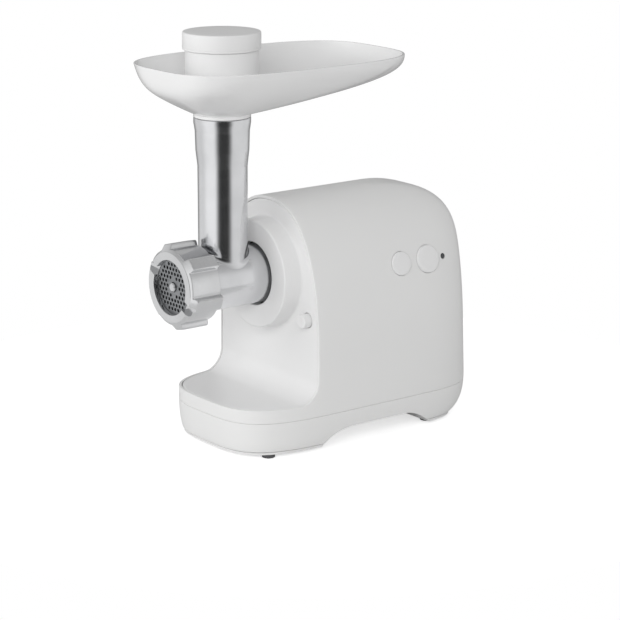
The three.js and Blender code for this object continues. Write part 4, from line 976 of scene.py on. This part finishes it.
def hole_plate():
    """The grinding plate: a filled outline with a field of holes and softened edges."""
    outline = bpy.data.curves.new("plate_outline", "CURVE")
    outline.dimensions = "2D"
    outline.fill_mode = "BOTH"
    outline.resolution_u = 12
    thickness = plate_high.y - plate_low.y
    bevel = PLATE["bevel"]
    outline.extrude = (thickness / 2 - bevel) * MM
    outline.bevel_depth = bevel * MM
    outline.bevel_resolution = 1

    def circle(x, z, radius, count):
        spline = outline.splines.new("POLY")
        spline.points.add(count - 1)
        for t, point in zip(turns(count), spline.points):
            point.co = ((x + radius * math.cos(t)) * MM, (z + radius * math.sin(t)) * MM, 0, 1)
        spline.use_cyclic_u = True

    circle(0, 0, (plate_high.x - plate_low.x) / 2 - bevel, 128)
    circle(0, 0, PLATE["centre_hole"] + bevel, 40)
    nearest, farthest = PLATE["field"]
    for row in PLATE_ROWS:
        for column in PLATE_ROWS:
            x = (column + 0.5 * (row % 2)) * PLATE["pitch"]
            z = row * PLATE["pitch"] * math.sqrt(0.75)
            if nearest < math.hypot(x, z) < farthest:
                circle(x, z, PLATE["hole"] + bevel, 18)
    flat = link("plate_flat", outline)
    graph = bpy.context.evaluated_depsgraph_get()
    mesh = bpy.data.meshes.new_from_object(flat.evaluated_get(graph))
    bpy.data.objects.remove(flat)
    upright = Matrix.Rotation(math.pi / 2, 4, "X")
    middle = Vector((0, FEED_Y + (plate_low.y + plate_high.y) / 2 * MM, AXIS_Z * MM))
    mesh.transform(Matrix.Translation(middle) @ upright)
    bm = bmesh.new()
    bm.from_mesh(mesh)
    bmesh.ops.remove_doubles(bm, verts=bm.verts, dist=1e-6)
    bmesh.ops.recalc_face_normals(bm, faces=bm.faces)
    bm.to_mesh(mesh)
    bm.free()
    finish_piece(link("plate_disc", mesh), plate_metal, "plate", "steel", "hole_plate")


NUT = {
    "lobe": 37.8,
    "scoop": 33.4,
    "face": 31.4,
    "opening": 24,
    "bore": 30.8,
    "lip": 4.3,
    "bevel": 6.2,
    "edge": 0.6,
    "corner": 0.25,
    "rear_edge": 1.2,
    "opening_edge": 0.7,
    "first": 43,
    "lobe_half": 8,
    "flank": 3.5,
    "slot_at": -29,
    "slot_width": 9.5,
    "slot_depth": 4.2,
}
NUT_STEPS = 540


def nut_radius(degrees):
    """The nut's outer radius by angle: flat-topped lobes with scoops between them."""
    away = abs((degrees - NUT["first"] + 30) % 60 - 30)
    half = NUT["lobe_half"]
    level = NUT["lobe"] * math.cos(math.radians(half))
    flat = level / math.cos(math.radians(min(away, half)))
    rise = min(1, max(0, (away - half) / NUT["flank"]))
    rise = rise * rise * (3 - 2 * rise)
    return flat * (1 - rise) + NUT["scoop"] * rise


def nut_row(y, radius_at):
    """A ring of points round the barrel's axis; radius_at takes degrees."""
    points = []
    for t in turns(NUT_STEPS):
        r = radius_at(math.degrees(t))
        points.append((r * math.cos(t), y, AXIS_Z + r * math.sin(t)))
    return points


def nut_slot(turn):
    """A cutter for the wrench slot across the nut's face."""
    inner, outer = NUT["opening"] - 5, NUT["lobe"] + 5
    half = NUT["slot_width"] / 2
    outline = [(inner, -half), (outer, -half), (outer, half), (inner, half)]
    bm = prism(outline, "Y", nut_low.y - 5, nut_low.y + NUT["slot_depth"])
    place = Matrix.Translation((0, 0, AXIS_Z)) @ Matrix.Rotation(math.radians(-turn), 4, "Y")
    bmesh.ops.transform(bm, matrix=place, verts=bm.verts)
    return bm


def ring_nut():
    """The cast nut: lobes bevelled towards the face, an inner lip over the plate, and two slots."""
    front, back = nut_low.y, nut_high.y
    lip_y, edge = front + NUT["lip"], NUT["edge"]
    quarter = [math.pi / 2 * k / 4 for k in range(5)]
    rows = []

    def limited(limit, y):
        """A row of the outer form, kept inside a circle by a slightly rounded corner."""
        corner = NUT["corner"]

        def radius_at(degrees):
            widest = nut_radius(degrees)
            gap = (limit - widest) / corner
            return widest if gap > 30 else limit - corner * math.log1p(math.exp(gap))

        rows.append(nut_row(y, radius_at))

    for t in quarter:
        limited(NUT["face"] - edge + edge * math.sin(t), front + edge * (1 - math.cos(t)))
    for share in (k / 12 for k in range(1, 13)):
        limit = NUT["face"] + (NUT["lobe"] + 1.5 - NUT["face"]) * share
        limited(limit, front + edge + (NUT["bevel"] - edge) * share)
    for y in (front + 9, front + 14, front + 20, back - 3):
        rows.append(nut_row(y, nut_radius))
    for t in quarter[1:]:
        drop = NUT["rear_edge"] * (1 - math.cos(t))
        y = back - NUT["rear_edge"] * (1 - math.sin(t))
        rows.append(nut_row(y, lambda degrees: nut_radius(degrees) - drop))
    rows.append(nut_row(back, lambda degrees: NUT["bore"]))
    rows.append(nut_row(lip_y, lambda degrees: NUT["bore"]))
    rows.append(nut_row(lip_y, lambda degrees: NUT["opening"]))
    for t in quarter:
        radius = NUT["opening"] + NUT["opening_edge"] * (1 - math.cos(t))
        rows.append(nut_row(front + NUT["opening_edge"] * (1 - math.sin(t)), lambda degrees: radius))
    rows.append(rows[0])
    obj = new_object("nut_casting", grid(rows))
    carve(obj, [nut_slot(NUT["slot_at"]), nut_slot(NUT["slot_at"] + 180)])
    finish_piece(obj, nut_metal, "ring", "cast_aluminium", "ring_nut", degrees=24)


# ---------- tray and pusher ----------

TRAY = {
    "neck_z": 296.9,
    "centre_y": (tray_low.y + tray_high.y) / 2,
    "half_width": tray_high.x,
    "half_length": (tray_high.y - tray_low.y) / 2,
    "rim_power": 3.3,
    "neck": 24.9,
    "wall": 2.0,
    "spigot": 22.5,
    "bore": 20.4,
}
TRAY_STEPS = 120
BOWL_ROWS = 28
BOWL_CROWDING = 1.1
# How far the bowl swells out and how early it rises: for all of it, more to the back, more to the sides
SWELL = (0.687, 0.46, 0.1)
RISE = (0.687, 0.095, 0.42)
LATE_RISE_POWER = 9


def tray_ring(share, inset, lift):
    """A ring round the bowl, at a share of the way from the neck to the rim."""
    ring = []
    neck = TRAY["neck"] - inset
    for t in turns(TRAY_STEPS):
        c, n = math.cos(t), math.sin(t)
        swell, start = (min(1, part[0] + part[1] * n + part[2] * c * c) for part in (SWELL, RISE))
        out = share + swell * share * (1 - share)
        rim_x = (TRAY["half_width"] - inset) * power(c, 2 / TRAY["rim_power"])
        rim_y = TRAY["centre_y"] + (TRAY["half_length"] - inset) * power(n, 2 / TRAY["rim_power"])
        rise = start * share + (1 - start) * share**LATE_RISE_POWER
        z = TRAY["neck_z"] + (tray_high.z - TRAY["neck_z"]) * rise + lift
        ring.append(((1 - out) * neck * c + out * rim_x, (1 - out) * neck * n + out * rim_y, z))
    return ring


def tray():
    """The dish with its collar and spigot: up the outside, over the rim and down the inside."""
    wall, bore, spigot, collar = (TRAY[key] for key in ("wall", "bore", "spigot", "neck"))
    seat = feed_high.z + SEAM
    rows = []

    def circles(*sizes):
        rows.extend(circle_row(radius, z, TRAY_STEPS) for radius, z in sizes)

    circles((bore, tray_low.z), (spigot, tray_low.z), (spigot, seat))
    circles((collar - 0.4, seat), (collar, seat + 0.4))
    for k in range(BOWL_ROWS + 1):
        share = (k / BOWL_ROWS) ** BOWL_CROWDING
        rows.append(tray_ring(share, 0, 0 if k < BOWL_ROWS else -0.6))
    for inset, lift in ((0.25, -0.15), (0.75, 0), (wall - 0.7, 0), (wall - 0.2, -0.15)):
        rows.append(tray_ring(1, inset, lift))
    for k in range(BOWL_ROWS - 1, -1, -1):
        share = (k / BOWL_ROWS) ** BOWL_CROWDING
        rows.append(tray_ring(share, wall, min(wall * 1.1, 30 * (1 - share) - 0.6)))
    circles((bore + 1.2, TRAY["neck_z"] + 2), (bore, TRAY["neck_z"] + 0.8))
    rows.append(rows[0])
    dish = new_object("tray_dish", grid(rows))
    finish_piece(dish, tray_white, "tray", "tray_white", "tray", degrees=40)


def pusher_pieces():
    """The hollow pusher with its wide drum, and the cap that closes the drum."""
    stem, wall, drum_z = 18.6, 2.2, 305
    drum = (pusher_high.x - pusher_low.x) / 2
    low, top = pusher_low.z, pusher_high.z
    body = turned(
        [
            (POLE, low),
            (stem, low, 1.2),
            (stem, drum_z - 0.5, 0.6),
            (drum, drum_z, 2.4),
            (drum, top, 0.4),
            (drum - wall, top, 0.4),
            (drum - wall, drum_z + wall, 1.5),
            (stem - wall, drum_z + wall, 0.8),
            (stem - wall, low + wall, 1),
            (POLE, low + wall),
        ],
        "Z",
        steps=128,
    )
    finish_piece(new_object("pusher_body", body), pusher_white, "pusher", "white", "pusher")
    cap = (lid_high.x - lid_low.x) / 2
    skirt_low, lid_top = lid_low.z, lid_high.z
    skirt, seat = drum - wall - SEAM, top + SEAM
    lid = turned(
        [
            (POLE, lid_top - wall),
            (cap - wall, lid_top - wall, 1),
            (cap - wall, seat + wall),
            (drum - 2 * wall, seat + wall),
            (drum - 2 * wall, skirt_low, 0.4),
            (skirt, skirt_low, 0.4),
            (skirt, seat),
            (cap, seat, 0.6),
            (cap, seat + 1.3, 0.25),
            (cap - 0.35, seat + 1.55, 0.1),
            (cap, seat + 1.8, 0.25),
            (cap, lid_top, 1.3),
            (cap * 0.6, lid_top),
            (POLE, lid_top),
        ],
        "Z",
        steps=128,
    )
    finish_piece(new_object("pusher_lid", lid), pusher_white, "lid", "white", "pusher_cap")


# ---------- camera, light and floor ----------

CAMERA = {"azimuth": 52.79, "elevation": 13.02, "distance": 2035.75, "aim": (0, 70, 170)}
LENS = {"sensor": 36, "length": 132.88, "shift": (0.037, -0.104)}


def camera():
    """The photograph's view: well to the right of the outlet, a little above, from about two metres."""
    azimuth, elevation = math.radians(CAMERA["azimuth"]), math.radians(CAMERA["elevation"])
    level = math.cos(elevation)
    back = Vector((math.sin(azimuth) * level, -math.cos(azimuth) * level, math.sin(elevation)))
    data = bpy.data.cameras.new("camera")
    data.sensor_width = LENS["sensor"]
    data.lens = LENS["length"]
    data.shift_x, data.shift_y = LENS["shift"]
    cam = link("camera", data)
    cam.location = (Vector(CAMERA["aim"]) + back * CAMERA["distance"]) * MM + Vector((0, FEED_Y, 0))
    cam.rotation_euler = back.to_track_quat("Z", "Y").to_euler()
    bpy.context.scene.camera = cam


WALLS = 0.78  # the studio's brightness, but for these patches:
# direction, degrees to the start and end of the fade, brightness, upright
STUDIO = (
    ((0, 0, 1), 25, 95, 0.43, False),  # dim overhead
    ((0.01, -1, -0.1), 8, 46, 1.02, False),  # a bright wall on the left
    ((0.66, 0.75, -0.1), 10, 40, 0.8, False),  # one on the right
    ((0.86, -0.48, -0.08), 14, 42, 0.04, True),  # a tall dark opening in front
    ((-0.79, 0.6, -0.2), 24, 52, 0.3, False),  # a darker wall behind
)
UPRIGHT_SCALE = (1, 1, 0.4)  # flattens directions, which makes a patch tall
LAMPS = (  # name, place, size, watts
    ("front", (1.52, -1.48, 1.05), (1.3, 1.0), 23),
    ("left", (-0.7, -2.0, 0.9), (1.2, 1.2), 7),
)
LAMP_AIM = (0, 0, 0.17)
FLOOR_RADIUS = 0.42
FLOOR_STEPS = 96
FLOOR_GLOW = 0.62  # for the camera alone, to make it white


def soft_light(name, place, size, watts):
    data = bpy.data.lights.new(name, "AREA")
    data.shape = "RECTANGLE"
    data.size, data.size_y = size
    data.energy = watts
    light = link(name, data)
    light.location = place
    away = Vector(place) - Vector(LAMP_AIM)
    light.rotation_euler = away.to_track_quat("Z", "Y").to_euler()
    light.visible_glossy = False


def lobe(tree, direction, toward, full, none):
    """1 within full degrees of a direction, falling to 0 at none degrees from it."""
    dot = vector_math(tree, "DOT_PRODUCT", direction, Vector(toward).normalized())
    fade = tree.nodes.new("ShaderNodeMapRange")
    fade.interpolation_type = "SMOOTHSTEP"
    fade.inputs["From Min"].default_value = math.cos(math.radians(none))
    fade.inputs["From Max"].default_value = math.cos(math.radians(full))
    tree.links.new(dot, fade.inputs["Value"])
    return fade.outputs["Result"]


def blend_grey(tree, factor, first, second):
    """A grey that goes from first to second; either may be a number or a socket."""
    node = tree.nodes.new("ShaderNodeMix")
    tree.links.new(factor, node.inputs["Factor"])
    for name, value in (("A", first), ("B", second)):
        if isinstance(value, float):
            node.inputs[name].default_value = value
        else:
            tree.links.new(value, node.inputs[name])
    return node.outputs["Result"]


def seen_by_camera(tree):
    return tree.nodes.new("ShaderNodeLightPath").outputs["Is Camera Ray"]


def studio():
    """White to the camera, with bright and dark patches that show in the metal."""
    world = bpy.data.worlds.new("studio")
    world.use_nodes = True
    bpy.context.scene.world = world
    tree = world.node_tree
    tree.nodes.clear()
    direction = tree.nodes.new("ShaderNodeTexCoord").outputs["Generated"]
    flattened = vector_math(tree, "NORMALIZE", vector_math(tree, "MULTIPLY", direction, UPRIGHT_SCALE))
    walls = WALLS
    for toward, full, none, brightness, upright in STUDIO:
        patch = lobe(tree, flattened if upright else direction, toward, full, none)
        walls = blend_grey(tree, patch, walls, brightness)
    background = tree.nodes.new("ShaderNodeBackground")
    background.inputs["Color"].default_value = (1, 1, 1, 1)
    strength = blend_grey(tree, seen_by_camera(tree), walls, 1.0)
    tree.links.new(strength, background.inputs["Strength"])
    output = tree.nodes.new("ShaderNodeOutputWorld")
    tree.links.new(background.outputs["Background"], output.inputs["Surface"])
    for lamp in LAMPS:
        soft_light(*lamp)
    bpy.context.scene.view_settings.view_transform = "Standard"


def pale_floor():
    """A round white floor under the machine."""
    data = bpy.data.meshes.new("floor")
    ring = circle_row(FLOOR_RADIUS, 0, FLOOR_STEPS)
    data.from_pydata(ring, [], [tuple(range(FLOOR_STEPS))])
    floor = link("floor", data)
    material, tree, shader = blank("pale_floor")
    tone = spread(tree, noise(tree, object_place(tree), 14, 3), 0, 1)
    tones = two_tone(tree, tone, (0.9, 0.9, 0.9), (0.88, 0.88, 0.88))
    tree.links.new(tones, shader.inputs["Base Color"])
    shader.inputs["Roughness"].default_value = 0.6
    glow = blend_grey(tree, seen_by_camera(tree), 0.0, FLOOR_GLOW)
    tree.links.new(glow, shader.inputs["Emission Strength"])
    shader.inputs["Emission Color"].default_value = (1, 1, 1, 1)
    floor.data.materials.append(material)


# ---------- assembly ----------

camera()
main_housing()
front_fascia()
base_case()
bottom_plate()
feet()
side_button("power_key", "power", "power_button", POWER_Y, POWER_RADIUS)
side_button("reverse_key", "reverse", "reverse_button", REVERSE_Y, REVERSE_RADIUS)
indicator()
lock_button()
cord_gland()
barrel()
feed_tube()
hole_plate()
ring_nut()
tray()
pusher_pieces()
studio()
pale_floor()
